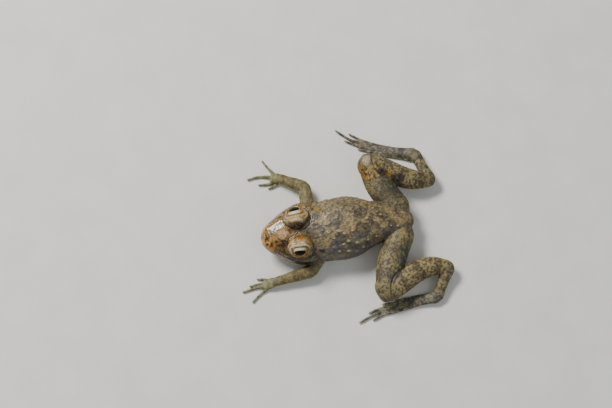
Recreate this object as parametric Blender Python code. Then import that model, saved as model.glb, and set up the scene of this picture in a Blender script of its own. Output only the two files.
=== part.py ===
"""Indian skipper frog floating with its limbs spread, set down on its belly as a life-size still model.

The frog faces -X, its right side is towards +Y, and it rests on z = 0. The origin is on the
belly's flat. Everything is modelled in millimetres, and the finished pieces are scaled to metres.
The body is built whole from lofted forms, fused and smoothed, and then parted with thin cuts.
"""

import math

import bmesh
import bpy
import numpy as np
from mathutils import Matrix, Vector
from mathutils.bvhtree import BVHTree

MM = 0.001
GAP = 0.3  # width of a parting cut, and the room left round an eyeball

# Snout to vent is 55 mm. Rows: x, half width, height of the widest level, rise above it,
# drop below it, shift of the middle towards the right side.
BODY_SECTIONS = (
    (-26.0, 0.0, 7.4, 0.0, 0.0, 0.0),
    (-25.2, 2.9, 7.4, 2.0, 1.9, 0.0),
    (-23.5, 4.8, 7.3, 3.2, 3.1, 0.0),
    (-21.0, 6.6, 7.0, 4.3, 4.0, 0.0),
    (-18.0, 8.6, 6.8, 5.1, 4.6, 0.0),
    (-15.0, 10.1, 6.5, 5.8, 5.0, 0.0),
    (-12.0, 11.0, 6.3, 6.3, 5.4, 0.0),
    (-9.0, 11.1, 6.2, 6.7, 5.8, 0.0),
    (-6.0, 10.9, 6.2, 7.2, 6.1, 0.0),
    (-3.0, 11.0, 6.2, 7.8, 6.4, 0.1),
    (1.0, 11.3, 6.2, 8.4, 6.7, 0.2),
    (5.0, 11.3, 6.2, 8.7, 6.8, 0.3),
    (9.0, 10.3, 6.3, 8.4, 6.8, 0.4),
    (13.0, 8.4, 6.5, 7.7, 6.7, 0.5),
    (17.0, 7.1, 6.6, 6.7, 6.0, 0.4),
    (21.0, 6.4, 6.6, 5.6, 5.0, 0.2),
    (25.0, 5.0, 6.5, 4.3, 4.0, 0.0),
    (27.5, 3.2, 6.5, 2.8, 2.7, 0.0),
    (29.0, 0.0, 6.6, 0.0, 0.0, 0.0),
)
BACK_POWER = 2.25  # how square the section is above its widest level; 2 is an ellipse
BELLY_POWER = 2.4

# The head is rolled a little to its left about a line along its middle.
HEAD_ROLL = math.radians(8.0)
ROLL_HEIGHT = 7.0
ROLL_FROM, ROLL_TO = -3.0, -11.0

# The eyes stand high and close together. Places are for the right eye, before the roll.
EYE_CENTRE = (-12.8, 5.3, 12.0)
EYE_RADIUS = 3.6
EYE_PUSH = 0.3  # how far the eyeball stands out of the middle of its bulge
EYE_BULGE = (4.7, 4.3, 4.4)
EYE_AXIS = (-0.18, 0.70, 0.69)
LID_OPENING = (2.9, 2.3)  # half length and half height of the gap between the lids

NOSTRIL = (-24.0, 2.5, 9.4)
NOSTRIL_RADIUS = 0.5
TYMPANUM = (-8.2, 10.0, 9.2)
TYMPANUM_AXIS = (0.15, 0.93, 0.34)
TYMPANUM_RADIUS = 1.75
MOUTH_END = -8.4
MOUTH_HEIGHT = 6.1
MOUTH_DEPTH = 0.55

# Joints, as centres of the limb there.
SHOULDER = {"right": (-7.9, 8.0, 3.8), "left": (-6.2, -7.6, 3.3)}
ELBOW = {"right": (-8.0, 18.3, 3.9), "left": (-9.9, -13.2, 3.2)}
WRIST = {"right": (-16.6, 23.6, 2.2), "left": (-23.2, -14.9, 2.2)}
HIP = {"right": (25.0, 2.6, 6.3), "left": (25.0, -2.8, 6.3)}
KNEE = {"right": (15.6, 23.3, 8.2), "left": (15.1, -25.8, 5.6)}
HEEL = {"right": (37.0, 14.6, 3.8), "left": (38.6, -18.7, 3.6)}
ANKLE = {"right": (33.5, 25.8, 1.7), "left": (33.2, -28.4, 1.7)}

# A place on the way along each thigh and shank, which bows the limb.
THIGH_BEND = {"right": (18.6, 14.0, 7.6), "left": (18.6, -14.6, 6.2)}
SHANK_BEND = {"right": (31.6, 15.1, 5.0), "left": (33.1, -17.8, 4.6)}
KNEE_LUMP = {"right": ((15.2, 21.4, 8.4), (3.5, 4.3, 3.5)), "left": ((14.6, -23.4, 5.8), (3.3, 4.2, 3.4))}

# Limb sections: share of the way from joint to joint, half width, half height.
UPPER_ARM = ((-0.25, 0, 0), (0.0, 2.8, 2.7), (0.4, 2.6, 2.5), (0.8, 2.35, 2.2), (1.0, 2.2, 2.1), (1.2, 0, 0))
FOREARM = ((-0.18, 0, 0), (0.0, 2.1, 2.1), (0.3, 2.15, 2.0), (0.7, 1.8, 1.6), (1.0, 1.6, 1.25), (1.15, 0, 0))
THIGH = (
    (-0.1, 0, 0),
    (0.06, 4.4, 4.0),
    (0.3, 4.9, 4.4),
    (0.55, 5.1, 4.5),
    (0.8, 4.5, 4.0),
    (1.0, 3.4, 3.3),
    (1.13, 0, 0),
)
SHANK = (
    (-0.12, 0, 0),
    (0.0, 3.2, 3.2),
    (0.2, 3.9, 3.7),
    (0.42, 4.0, 3.7),
    (0.7, 3.7, 3.2),
    (0.92, 2.9, 2.5),
    (1.0, 2.5, 2.3),
    (1.09, 0, 0),
)
TARSUS = ((-0.2, 0, 0), (0.0, 2.4, 2.2), (0.35, 2.1, 1.9), (0.75, 2.0, 1.7), (1.0, 2.1, 1.5), (1.18, 0, 0))
SOLE = ((-0.12, 0, 0), (0.0, 2.0, 1.4), (0.35, 1.9, 1.1), (0.7, 1.75, 0.85), (1.0, 1.7, 0.6), (1.15, 0, 0))
PALM = ((-0.25, 0, 0), (0.0, 1.55, 1.2), (0.5, 1.9, 1.0), (1.0, 1.7, 0.75), (1.25, 0, 0))

# The fourth toe's line on the floor. The other toes lie along it: millimetres outward of it
# where they start and where they end, share of its length that they reach, and radius.
TOE_LINE = {
    "right": ((33.0, 25.4), (26.2, 28.2), (19.3, 30.8), (14.2, 33.1), (10.3, 35.6), (6.5, 39.1)),
    "left": ((32.8, -28.2), (25.2, -29.2), (18.5, -30.2), (13.8, -30.4), (10.2, -31.4), (4.5, -33.7)),
}
TOES = (
    ("toe_1", -1.5, -2.9, 0.50, 0.66),
    ("toe_2", -1.1, -2.3, 0.66, 0.68),
    ("toe_3", -0.5, -1.35, 0.84, 0.72),
    ("toe_4", 0.0, 0.0, 1.0, 0.76),
    ("toe_5", 0.7, 1.7, 0.84, 0.72),
)
SOLE_LENGTH = 11.0

# Fingers as lines of places on the floor from the palm to the tip, and their radius.
FINGERS = {
    "right": (
        ("finger_1", ((-16.6, 22.7), (-18.7, 21.2), (-20.9, 20.5)), 0.60),
        ("finger_2", ((-17.0, 23.3), (-19.2, 22.5), (-21.6, 22.3), (-24.2, 22.5)), 0.64),
        ("finger_3", ((-17.2, 24.1), (-21.0, 25.2), (-24.6, 25.5), (-27.9, 25.0)), 0.66),
        ("finger_4", ((-17.2, 24.7), (-18.9, 27.0), (-20.4, 29.2), (-21.7, 31.6)), 0.60),
    ),
    "left": (
        ("finger_1", ((-24.6, -14.3), (-27.0, -13.0), (-29.6, -12.6)), 0.60),
        ("finger_2", ((-24.8, -14.9), (-28.6, -14.5), (-32.5, -14.9)), 0.64),
        ("finger_3", ((-24.8, -15.5), (-30.0, -15.7), (-35.2, -16.7)), 0.66),
        ("finger_4", ((-24.6, -15.9), (-28.0, -17.6), (-32.3, -20.9)), 0.60),
    ),
}
PALM_END = {"right": (-19.2, 24.4, 0.9), "left": (-27.2, -15.3, 0.9)}
TIP_SHARE = 0.55  # a digit's radius at its tip, as a share of that at its start
DIGIT_HEIGHT = 0.52  # centre of a digit that lies on the floor
WEB_THICKNESS = 0.62
WEB_START = 0.3
WEB_END = 0.93
WEB_DIP = 0.16

# Parting cuts: the neck's line in the middle plane, as x and z, and how far out each cut runs.
NECK_LINE = (
    (-1.0, 17.5),
    (-3.0, 13.0),
    (-4.6, 10.0),
    (-5.9, 7.9),
    (-8.2, 6.75),
    (-11.2, 5.8),
    (-13.3, 3.4),
    (-13.8, -1.0),
)
SHOULDER_SIDE = 11.75
ELBOW_REACH = {"right": 3.2, "left": 2.4}
KNEE_FLOOR = {"right": 1.9, "left": 1.35}
KNEE_CREASE = {
    "right": ((17.8, 29.0), (17.4, 25.5), (17.3, 21.2), (19.6, 17.0), (22.6, 14.9), (25.4, 12.4), (27.6, 8.5)),
    "left": ((16.8, -30.4), (16.8, -27.0), (17.0, -24.2), (18.4, -21.4), (20.4, -19.4), (23.4, -16.6), (26.0, -12.6)),
}

VOXEL = 0.28
SMOOTH_STEPS = 8
DIGIT_CALM = (1.2, 3.5)  # distances from a digit over which the smoothing comes in
TRIANGLES = 10500


def clear_scene():
    for obj in list(bpy.data.objects):
        bpy.data.objects.remove(obj, do_unlink=True)


def unit(vector):
    vector = np.asarray(vector, float)
    return vector / np.linalg.norm(vector)


def ease(value, start, end):
    """0 at start, 1 at end, and smooth between; start may be above end."""
    share = np.clip((np.asarray(value, float) - start) / (end - start), 0, 1)
    return share * share * (3 - 2 * share)


def smooth(knots, values, at):
    """Cubic curve through the values at the knots, read at many places."""
    knots, values, at = np.asarray(knots, float), np.asarray(values, float), np.asarray(at, float)
    slopes = np.gradient(values, knots, axis=0)
    index = np.clip(np.searchsorted(knots, at, side="right") - 1, 0, len(knots) - 2)
    step = knots[index + 1] - knots[index]
    share = (at - knots[index]) / step
    if values.ndim > 1:
        step, share = step[:, None], share[:, None]
    left = (1 + 2 * share) * (1 - share) ** 2 * values[index] + share * (1 - share) ** 2 * step * slopes[index]
    right = share**2 * (3 - 2 * share) * values[index + 1] + share**2 * (share - 1) * step * slopes[index + 1]
    return left + right


def swell(knots, radii, at):
    """Radii between knots. Their squares are what runs smoothly, so an end of radius 0 is round."""
    return np.sqrt(np.maximum(smooth(knots, np.square(radii), at), 0))


def loft(name, rings):
    """A closed mesh over rings with equal counts of points, each end drawn together at its middle."""
    count = len(rings[0])
    ends = [rings[0].mean(axis=0), rings[-1].mean(axis=0)]
    points = np.concatenate([*rings, ends])
    around = np.arange(count)
    ahead = (around + 1) % count
    faces = []
    for ring in range(len(rings) - 1):
        low, high = ring * count, (ring + 1) * count
        faces += np.column_stack([low + around, low + ahead, high + ahead, high + around]).tolist()
    first, last = len(points) - 2, len(points) - 1
    base = (len(rings) - 1) * count
    faces += [(first, int(j), int(i)) for i, j in zip(around, ahead)]
    faces += [(last, int(base + i), int(base + j)) for i, j in zip(around, ahead)]
    return solid(name, points, faces)


def solid(name, points, faces):
    """A mesh object with its faces turned outward."""
    mesh = bpy.data.meshes.new(name)
    mesh.from_pydata(np.asarray(points).tolist(), [], faces)
    form = bmesh.new()
    form.from_mesh(mesh)
    bmesh.ops.recalc_face_normals(form, faces=form.faces)
    form.to_mesh(mesh)
    form.free()
    obj = bpy.data.objects.new(name, mesh)
    bpy.context.scene.collection.objects.link(obj)
    return obj


def spaced(start, end, count):
    """Places from start to end, close together near both, where a form rounds off."""
    turn = np.linspace(0, math.pi, count + 2)[1:-1]
    return start + (end - start) * (1 - np.cos(turn)) / 2


def ring_angles(count):
    return np.linspace(0, 2 * math.pi, count, endpoint=False)


def rolled(points, way=1):
    """Head points turned from the straight head to the rolled one, or back with way -1."""
    points = np.array(points, float)
    angle = way * HEAD_ROLL * ease(points[..., 0], ROLL_FROM, ROLL_TO)
    side, rise = points[..., 1].copy(), points[..., 2] - ROLL_HEIGHT
    points[..., 1] = side * np.cos(angle) - rise * np.sin(angle)
    points[..., 2] = side * np.sin(angle) + rise * np.cos(angle) + ROLL_HEIGHT
    return points


def mirrored(place, sign):
    return np.array([place[0], sign * place[1], place[2]])


def body():
    """Head and trunk as one loft from the snout to the vent."""
    x, wide, level, rise, drop, shift = np.array(BODY_SECTIONS).T
    rings = []
    for at in spaced(x[0], x[-1], 90):
        here = [at]
        half = swell(x, wide, here)[0]
        up, down = swell(x, rise, here)[0], swell(x, drop, here)[0]
        angle = ring_angles(56)
        across, height = np.cos(angle), np.sin(angle)
        power = np.where(height > 0, BACK_POWER, BELLY_POWER)
        y = half * np.sign(across) * np.abs(across) ** (2 / power) + smooth(x, shift, here)[0]
        z = np.where(height > 0, up, down) * np.sign(height) * np.abs(height) ** (2 / power)
        rings.append(np.column_stack([np.full(len(y), at), y, z + smooth(x, level, here)[0]]))
    return loft("body", [rolled(ring) for ring in rings])


def ellipsoid(name, centre, radii, axes=((1, 0, 0), (0, 1, 0), (0, 0, 1)), rings=24, sides=36):
    axes = np.array(axes, float)
    around = ring_angles(sides)
    made = []
    for height in spaced(-1, 1, rings):
        reach = math.sqrt(1 - height * height)
        local = np.column_stack([reach * np.cos(around), reach * np.sin(around), np.full(sides, height)])
        made.append(np.asarray(centre) + (local * radii) @ axes)
    return loft(name, made)


def eye_frame(side):
    """Centre of an eyeball, and the axes along, across and out of the gap between its lids."""
    centre = rolled(mirrored(EYE_CENTRE, SIGNS[side]))
    out = unit(rolled(mirrored(EYE_CENTRE, SIGNS[side]) + mirrored(EYE_AXIS, SIGNS[side])) - centre)
    along = unit(np.cross(out, np.cross((1, 0, 0.12), out)))
    return centre, np.array([along, np.cross(out, along), out])


SIGNS = {"right": 1, "left": -1}


def path_through(points):
    """A function that gives places on a smooth line through the points by share of its length."""
    points = np.array(points, float)
    steps = np.linalg.norm(np.diff(points, axis=0), axis=1)
    knots = np.concatenate([[0], np.cumsum(steps)]) / steps.sum()

    def place(at):
        at = np.atleast_1d(np.asarray(at, float))
        inside = np.clip(at, 0, 1)
        run = (smooth(knots, points, np.clip(inside + 0.01, 0, 1)) - smooth(knots, points, np.clip(inside - 0.01, 0, 1)))
        heading = run / np.linalg.norm(run, axis=1)[:, None]
        spot = smooth(knots, points, inside) + heading * ((at - inside) * steps.sum())[:, None]
        return spot, heading

    return place


def tube(name, path, sections, sides=24, rings=30):
    """A limb or digit along a path. Each section is (share of the path, half width, half height)."""
    share, wide, tall = np.array(sections, float).T
    at = spaced(share[0], share[-1], rings)
    spots, headings = path(at)
    angle = ring_angles(sides)
    made = []
    for spot, heading, half, high in zip(spots, headings, swell(share, wide, at), swell(share, tall, at)):
        across = unit(np.cross((0, 0, 1), heading))
        up = np.cross(heading, across)
        made.append(spot + np.outer(half * np.cos(angle), across) + np.outer(high * np.sin(angle), up))
    return loft(name, made)


def on_floor(spots, root_height):
    """Places of a digit that leaves the palm or sole at some height and then lies on the floor."""
    heights = [max(DIGIT_HEIGHT, 0.5 * root_height)] + [DIGIT_HEIGHT] * (len(spots) - 1)
    return [(x, y, z) for (x, y), z in zip(spots, heights)]


def toe_path(side, start_shift, end_shift, reach):
    """A toe that runs beside the fourth toe's line, and ends at its own share of that line."""
    line = path_through([(x, y, 0) for x, y in TOE_LINE[side]])
    spots = []
    for share in np.linspace(0.03, reach, 6):
        spot, heading = (found[0] for found in line(share))
        outward = np.array([-heading[1], heading[0]]) * -SIGNS[side]
        shift = start_shift + (end_shift - start_shift) * (share / reach) ** 1.3
        spots.append(tuple(spot[:2] + outward * shift))
    return path_through(on_floor(spots, ANKLE[side][2]))


def digit(name, path, radius):
    """A finger or toe: tapered, a little thicker at its two joints, with a rounded tip."""
    sections = [(0.0, radius, radius)]
    for share, extra in ((0.18, 1.0), (0.38, 1.1), (0.54, 0.95), (0.7, 1.06), (0.86, 0.9)):
        size = radius * extra * (1 - (1 - TIP_SHARE) * share)
        sections.append((share, size, size))
    tip = radius * TIP_SHARE
    sections = [(-0.06, 0, 0), *sections, (0.97, tip, tip), (1.02, 0, 0)]
    return tube(name, path, sections, sides=12, rings=26)


def web(name, one, other):
    """The skin between two toes: a thin plate with a hollow front edge."""
    rows, columns = 14, 5
    grid = []
    for row in range(rows):
        for column in range(columns):
            across = column / (columns - 1)
            end = WEB_END - WEB_DIP * 4 * across * (1 - across)
            share = WEB_START + (end - WEB_START) * row / (rows - 1)
            here, there = one(share)[0][0], other(share)[0][0]
            grid.append(here + (there - here) * across)
    grid = np.array(grid)
    half = np.array([0, 0, WEB_THICKNESS / 2])
    points = np.concatenate([grid + half, grid - half])
    under = rows * columns
    faces = []
    for row in range(rows - 1):
        for column in range(columns - 1):
            a = row * columns + column
            faces.append((a, a + 1, a + columns + 1, a + columns))
            faces.append((under + a, under + a + columns, under + a + columns + 1, under + a + 1))
    edge = [*range(columns), *[r * columns + columns - 1 for r in range(1, rows)]]
    edge += [*range(rows * columns - 2, (rows - 1) * columns - 1, -1), *[r * columns for r in range(rows - 2, 0, -1)]]
    for a, b in zip(edge, edge[1:] + edge[:1]):
        faces.append((a, b, under + b, under + a))
    return solid(name, points, faces)


def limb(name, places, sections):
    return tube(name, path_through(places), sections)


def arm(side):
    shoulder, elbow, wrist = SHOULDER[side], ELBOW[side], WRIST[side]
    pieces = [
        limb("upper_arm", (shoulder, elbow), UPPER_ARM),
        limb("forearm", (elbow, wrist), FOREARM),
        limb("palm", (wrist, PALM_END[side]), PALM),
    ]
    paths = []
    for name, spots, radius in FINGERS[side]:
        paths.append(path_through(on_floor(spots, wrist[2])))
        pieces.append(digit(name, paths[-1], radius))
    return pieces, paths


def leg(side):
    hip, knee, heel, ankle = HIP[side], KNEE[side], HEEL[side], ANKLE[side]
    sole = path_through([(x, y, 0) for x, y in TOE_LINE[side]])(SOLE_LENGTH / 30)[0][0]
    pieces = [
        limb("thigh", (hip, THIGH_BEND[side], knee), THIGH),
        limb("shank", (knee, SHANK_BEND[side], heel), SHANK),
        limb("tarsus", (heel, ankle), TARSUS),
        limb("sole", (ankle, (sole[0], sole[1] - 0.4 * SIGNS[side], 0.8)), SOLE),
        ellipsoid("knee", *KNEE_LUMP[side]),
    ]
    paths = []
    for name, start_shift, end_shift, reach, radius in TOES:
        paths.append(toe_path(side, start_shift, end_shift, reach))
        pieces.append(digit(name, paths[-1], radius))
    pieces += [web("web", a, b) for a, b in zip(paths, paths[1:])]
    return pieces, paths


def join(name, pieces):
    """All the pieces as one object, still as overlapping bodies."""
    form = bmesh.new()
    for piece in pieces:
        form.from_mesh(piece.data)
        bpy.data.objects.remove(piece)
    mesh = bpy.data.meshes.new(name)
    form.to_mesh(mesh)
    form.free()
    obj = bpy.data.objects.new(name, mesh)
    bpy.context.scene.collection.objects.link(obj)
    return obj


def apply_modifiers(obj):
    graph = bpy.context.evaluated_depsgraph_get()
    made = bpy.data.meshes.new_from_object(obj.evaluated_get(graph))
    obj.modifiers.clear()
    obj.data = made


def fuse(obj, voxel):
    """The overlapping bodies as one skin."""
    remesh = obj.modifiers.new("fuse", "REMESH")
    remesh.mode = "VOXEL"
    remesh.voxel_size = voxel
    apply_modifiers(obj)


def places_of(mesh, kind="co"):
    """Vertex places, or normals, as an array."""
    source = mesh.vertices if kind == "co" else mesh.vertex_normals
    values = np.empty(len(source) * 3, np.float32)
    source.foreach_get("co" if kind == "co" else "vector", values)
    return values.reshape(-1, 3).astype(float)


def distance_to_digits(points, paths):
    nearest = np.full(len(points), np.inf)
    for path in paths:
        for spot in path(np.linspace(0.1, 1, 24))[0]:
            nearest = np.minimum(nearest, np.linalg.norm(points - spot, axis=1))
    return nearest


def soften(obj, paths, steps):
    """Smooths the skin where forms meet, and leaves the thin digits as they are."""
    weights = ease(distance_to_digits(places_of(obj.data), paths), *DIGIT_CALM)
    group = obj.vertex_groups.new(name="soft")
    for index in np.nonzero(weights > 0.01)[0]:
        group.add([int(index)], float(weights[index]), "REPLACE")
    relax = obj.modifiers.new("soften", "SMOOTH")
    relax.factor = 0.5
    relax.iterations = steps
    relax.vertex_group = group.name
    apply_modifiers(obj)
    obj.vertex_groups.clear()


def bump(distance, width):
    return np.exp(-np.square(distance / width))


def carve(obj):
    """Mouth line, lips, nostrils and the fold behind each eye, raised or pressed along the normals."""
    points, normals = places_of(obj.data), places_of(obj.data, "normals")
    straight = rolled(points, -1)
    x, y, z = straight.T
    offset = np.zeros(len(points))
    along = ease(x, MOUTH_END + 1.2, MOUTH_END - 0.8) * ease(np.abs(y), 14, 12.5)
    height = z - mouth_level(x)
    offset -= along * MOUTH_DEPTH * bump(height, 0.42)
    offset += along * 0.28 * bump(height - 0.95, 0.6)
    for side, sign in SIGNS.items():
        spot = mirrored(NOSTRIL, sign)
        away = np.linalg.norm(straight - spot, axis=1)
        offset += 0.3 * bump(away - 0.95, 0.5) - 0.75 * bump(away, NOSTRIL_RADIUS)
        centre, axes = eye_frame(side)
        local = (points - centre) @ axes.T
        around = np.hypot(local[:, 0] / LID_OPENING[0], local[:, 1] / LID_OPENING[1])
        offset += 0.35 * bump(around - 1.22, 0.2) * ease(local[:, 2], 0.8, 2.4)
        fold = path_through([mirrored(p, sign) for p in FOLD])(np.linspace(0, 1, 40))[0]
        near = np.linalg.norm(straight[:, None, :] - fold[None, ::2, :], axis=2).min(axis=1)
        offset += 0.45 * bump(near, 0.8)
    moved = points + normals * offset[:, None]
    obj.data.vertices.foreach_set("co", moved.astype(np.float32).ravel())
    obj.data.update()


FOLD = ((-9.0, 8.2, 12.2), (-6.5, 9.4, 11.2), (-5.0, 10.3, 9.0), (-5.2, 10.6, 7.2))


def mouth_level(x):
    """Height of the mouth line: a little lower under the eye than at the snout and the corner."""
    return MOUTH_HEIGHT + 0.5 * ease(x, -18, -25) - 0.35 * np.sin(np.clip((x + 26) / 18, 0, 1) * math.pi)


def simplify(obj, triangles):
    """Fewer triangles, most of them kept where the form bends."""
    form = bmesh.new()
    form.from_mesh(obj.data)
    bmesh.ops.triangulate(form, faces=form.faces)
    count = len(form.faces)
    form.to_mesh(obj.data)
    form.free()
    thin = obj.modifiers.new("simplify", "DECIMATE")
    thin.ratio = triangles / count
    apply_modifiers(obj)


def cut(obj, cutter):
    """Takes the cutter out of the object, and removes it."""
    cutter.hide_render = True
    cutter.display_type = "WIRE"
    difference = obj.modifiers.new("cut", "BOOLEAN")
    difference.operation = "DIFFERENCE"
    difference.solver = "EXACT"
    difference.object = cutter
    apply_modifiers(obj)
    bpy.data.objects.remove(cutter)


def slab(name, centre, normal, along, size):
    """A flat box as a cutter: GAP thick along its normal, and size (length, height)."""
    normal = unit(normal)
    along = unit(np.asarray(along) - normal * np.dot(along, normal))
    up = np.cross(normal, along)
    corners = []
    for side in (-1, 1):
        for run in (-1, 1):
            for rise in (-1, 1):
                corners.append(
                    np.asarray(centre)
                    + normal * side * GAP / 2
                    + along * run * size[0] / 2
                    + up * rise * size[1] / 2
                )
    faces = [(0, 1, 3, 2), (4, 6, 7, 5), (0, 4, 5, 1), (2, 3, 7, 6), (0, 2, 6, 4), (1, 5, 7, 3)]
    return solid(name, corners, faces)


def fold_slab(name, joint, one, other, behind, ahead, height):
    """A cut across a bent joint, in the plane that halves its angle."""
    joint = np.array(joint)
    first, second = unit(np.array(one) - joint), unit(np.array(other) - joint)
    middle = unit(first + second)
    centre = joint + middle * (ahead - behind) / 2
    return slab(name, centre, first - second, middle, (ahead + behind, height))


def socket_cutters(side):
    """The eyeball's room inside the lids, and the almond gap between them."""
    centre, axes = eye_frame(side)
    ball = ellipsoid("socket", centre + axes[2] * EYE_PUSH, [EYE_RADIUS + GAP] * 3, rings=11, sides=18)
    gap_radii = (LID_OPENING[0], LID_OPENING[1], 3.2)
    gap = ellipsoid("lid_gap", centre + axes[2] * (EYE_RADIUS + 0.6), gap_radii, axes, rings=9, sides=22)
    return [ball, gap]


def tympanum_cutter(side):
    """A cup-shaped cut that frees the eardrum as a disc of its own."""
    centre = rolled(mirrored(TYMPANUM, SIGNS[side]))
    out = unit(mirrored(TYMPANUM_AXIS, SIGNS[side]))
    across = unit(np.cross(out, (0, 0, 1)))
    up = np.cross(out, across)
    angle = ring_angles(20)
    profile = (
        (TYMPANUM_RADIUS, -1.0),
        (TYMPANUM_RADIUS, 2.5),
        (TYMPANUM_RADIUS + GAP, 2.5),
        (TYMPANUM_RADIUS + GAP, -1.0 - GAP),
    )
    rings = []
    for radius, depth in profile:
        rings.append(
            centre
            + out * depth
            + np.outer(radius * np.cos(angle), across)
            + np.outer(radius * np.sin(angle), up)
        )
    return loft("drum_cut", rings)


def floor_cutter():
    corners = [(x, y, z) for x in (-60, 60) for y in (-60, 60) for z in (-10, 0)]
    faces = [(0, 1, 3, 2), (4, 6, 7, 5), (0, 4, 5, 1), (2, 3, 7, 6), (0, 2, 6, 4), (1, 5, 7, 3)]
    return solid("floor", corners, faces)


def ribbon(name, line, start, end, place):
    """A thin cutter that follows a line in one plane and runs square to it from start to end.

    place turns a position on the line's plane and one across it into x, y and z.
    """
    line = np.array(line, float)
    heading = np.gradient(line, axis=0)
    heading /= np.linalg.norm(heading, axis=1)[:, None]
    across = np.column_stack([-heading[:, 1], heading[:, 0]]) * GAP / 2
    outline = np.concatenate([line + across, (line - across)[::-1]])
    count, rows = len(outline), 9
    points = [place(u, v, w) for w in np.linspace(start, end, rows) for u, v in outline]
    last = (rows - 1) * count
    faces = [tuple(range(count)), tuple(range(last + count - 1, last - 1, -1))]
    for low in range(0, last, count):
        for i in range(count):
            ahead = (i + 1) % count
            faces.append((low + i, low + ahead, low + count + ahead, low + count + i))
    return solid(name, points, faces)


def neck_place(x, z, y):
    """The neck cut leans with the rolled head, but not where it runs down behind the chin."""
    lean = math.tan(HEAD_ROLL) * ease(x, ROLL_FROM, ROLL_TO) * ease(z, 2.5, 6.0)
    return (x, y, z + y * float(lean))


def parting_cutters():
    """Every thin cut that divides the whole frog into its named pieces."""
    neck = ribbon("neck", NECK_LINE, -SHOULDER_SIDE, SHOULDER_SIDE, neck_place)
    cutters = [neck]
    for side, sign in SIGNS.items():
        shoulder, elbow, wrist = (np.array(spots[side]) for spots in (SHOULDER, ELBOW, WRIST))
        hip, knee, heel, ankle = (np.array(spots[side]) for spots in (HIP, KNEE, HEEL, ANKLE))
        cutters.append(slab("shoulder_cut", (-9.2, sign * SHOULDER_SIDE, 4), (0, 1, 0), (1, 0, 0), (13, 9)))
        cutters.append(fold_slab("elbow_cut", elbow, shoulder, wrist, 4, ELBOW_REACH[side], 7))
        cutters.append(slab("wrist_cut", wrist, wrist - elbow, (0, 1, 0), (6.6, 7)))
        cutters.append(slab("hip_cut", (22.2, sign * 5.9, 6), (0.42, sign * 0.9, 0), (1, 0, 0), (19, 14)))
        cutters.append(ribbon("knee_cut", KNEE_CREASE[side], KNEE_FLOOR[side], 14.5, lambda u, v, w: (u, v, w)))
        cutters.append(fold_slab("heel_cut", heel, knee, ankle, 5, 10, 9))
        foot = np.array([*TOE_LINE[side][1], ankle[2]])
        cutters.append(fold_slab("ankle_cut", ankle, heel, foot, 4.5, 4.5, 6))
    return cutters


def landmarks():
    """A point well inside each piece, by its name."""
    found = {"head": (-17.0, 0, 6), "torso": (3.0, 0, 7)}
    for side, sign in SIGNS.items():
        pairs = {
            "upper_arm": (SHOULDER, ELBOW, 0.72),
            "forearm": (ELBOW, WRIST, 0.5),
            "thigh": (HIP, KNEE, 0.7),
            "shank": (KNEE, HEEL, 0.5),
            "tarsus": (HEEL, ANKLE, 0.5),
        }
        for name, (start, end, share) in pairs.items():
            place = np.array(start[side]) + (np.array(end[side]) - np.array(start[side])) * share
            found[f"{name}_{side}"] = place
        found[f"hand_{side}"] = (np.array(WRIST[side]) + PALM_END[side]) / 2
        found[f"foot_{side}"] = np.array([*TOE_LINE[side][0], 1.2]) * 0.6 + np.array([*TOE_LINE[side][1], 0.8]) * 0.4
        found[f"upper_arm_{side}"][1] = sign * (SHOULDER_SIDE + 1)
        found[f"tympanum_{side}"] = rolled(mirrored(TYMPANUM, sign))
    return {name: np.asarray(place, float) for name, place in found.items()}


def islands(mesh):
    """The closed surfaces of a mesh, each as a set of face indices."""
    parent = np.arange(len(mesh.vertices))

    def root_of(i):
        while parent[i] != i:
            parent[i] = parent[parent[i]]
            i = parent[i]
        return i

    for edge in mesh.edges:
        a, b = root_of(edge.vertices[0]), root_of(edge.vertices[1])
        if a != b:
            parent[b] = a
    groups = {}
    for face in mesh.polygons:
        groups.setdefault(int(root_of(face.vertices[0])), []).append(face.index)
    return list(groups.values())


def holds(tree, spot):
    """Whether a closed surface holds a point: a line out of it crosses the surface an odd number of times."""
    spot, heading, crossings = Vector(spot), Vector((0.031, 0.047, 1)).normalized(), 0
    while True:
        hit = tree.ray_cast(spot, heading)[0]
        if hit is None:
            return crossings % 2 == 1
        crossings += 1
        spot = hit + heading * 1e-4


def part_out(obj):
    """Gives each closed surface an object of its own, named by the landmark inside it."""
    places = places_of(obj.data)
    wanted = landmarks()
    for faces in islands(obj.data):
        used = sorted({v for f in faces for v in obj.data.polygons[f].vertices})
        index = {vertex: i for i, vertex in enumerate(used)}
        loops = [[index[v] for v in obj.data.polygons[f].vertices] for f in faces]
        tree = BVHTree.FromPolygons(places[used].tolist(), loops)
        inside = [name for name, spot in wanted.items() if holds(tree, spot)]
        if len(inside) == 1:
            solid(inside[0], places[used], loops)
            del wanted[inside[0]]
        else:
            print("piece of", np.ptp(places[used], axis=0).round(2), "at", places[used].mean(axis=0).round(1), "holds", inside)
    bpy.data.objects.remove(obj)
    if wanted:
        print("no piece was found for", sorted(wanted))


def eyeball(side):
    centre, axes = eye_frame(side)
    return ellipsoid(f"eye_{side}", centre + axes[2] * EYE_PUSH, [EYE_RADIUS] * 3, axes, rings=11, sides=18)


def material(name, colour, roughness, metallic=0.0):
    made = bpy.data.materials.new(name)
    made.use_nodes = True
    shader = made.node_tree.nodes["Principled BSDF"]
    shader.inputs["Base Color"].default_value = (*colour, 1)
    shader.inputs["Roughness"].default_value = roughness
    shader.inputs["Metallic"].default_value = metallic
    made.diffuse_color = (*colour, 1)
    return made


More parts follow.
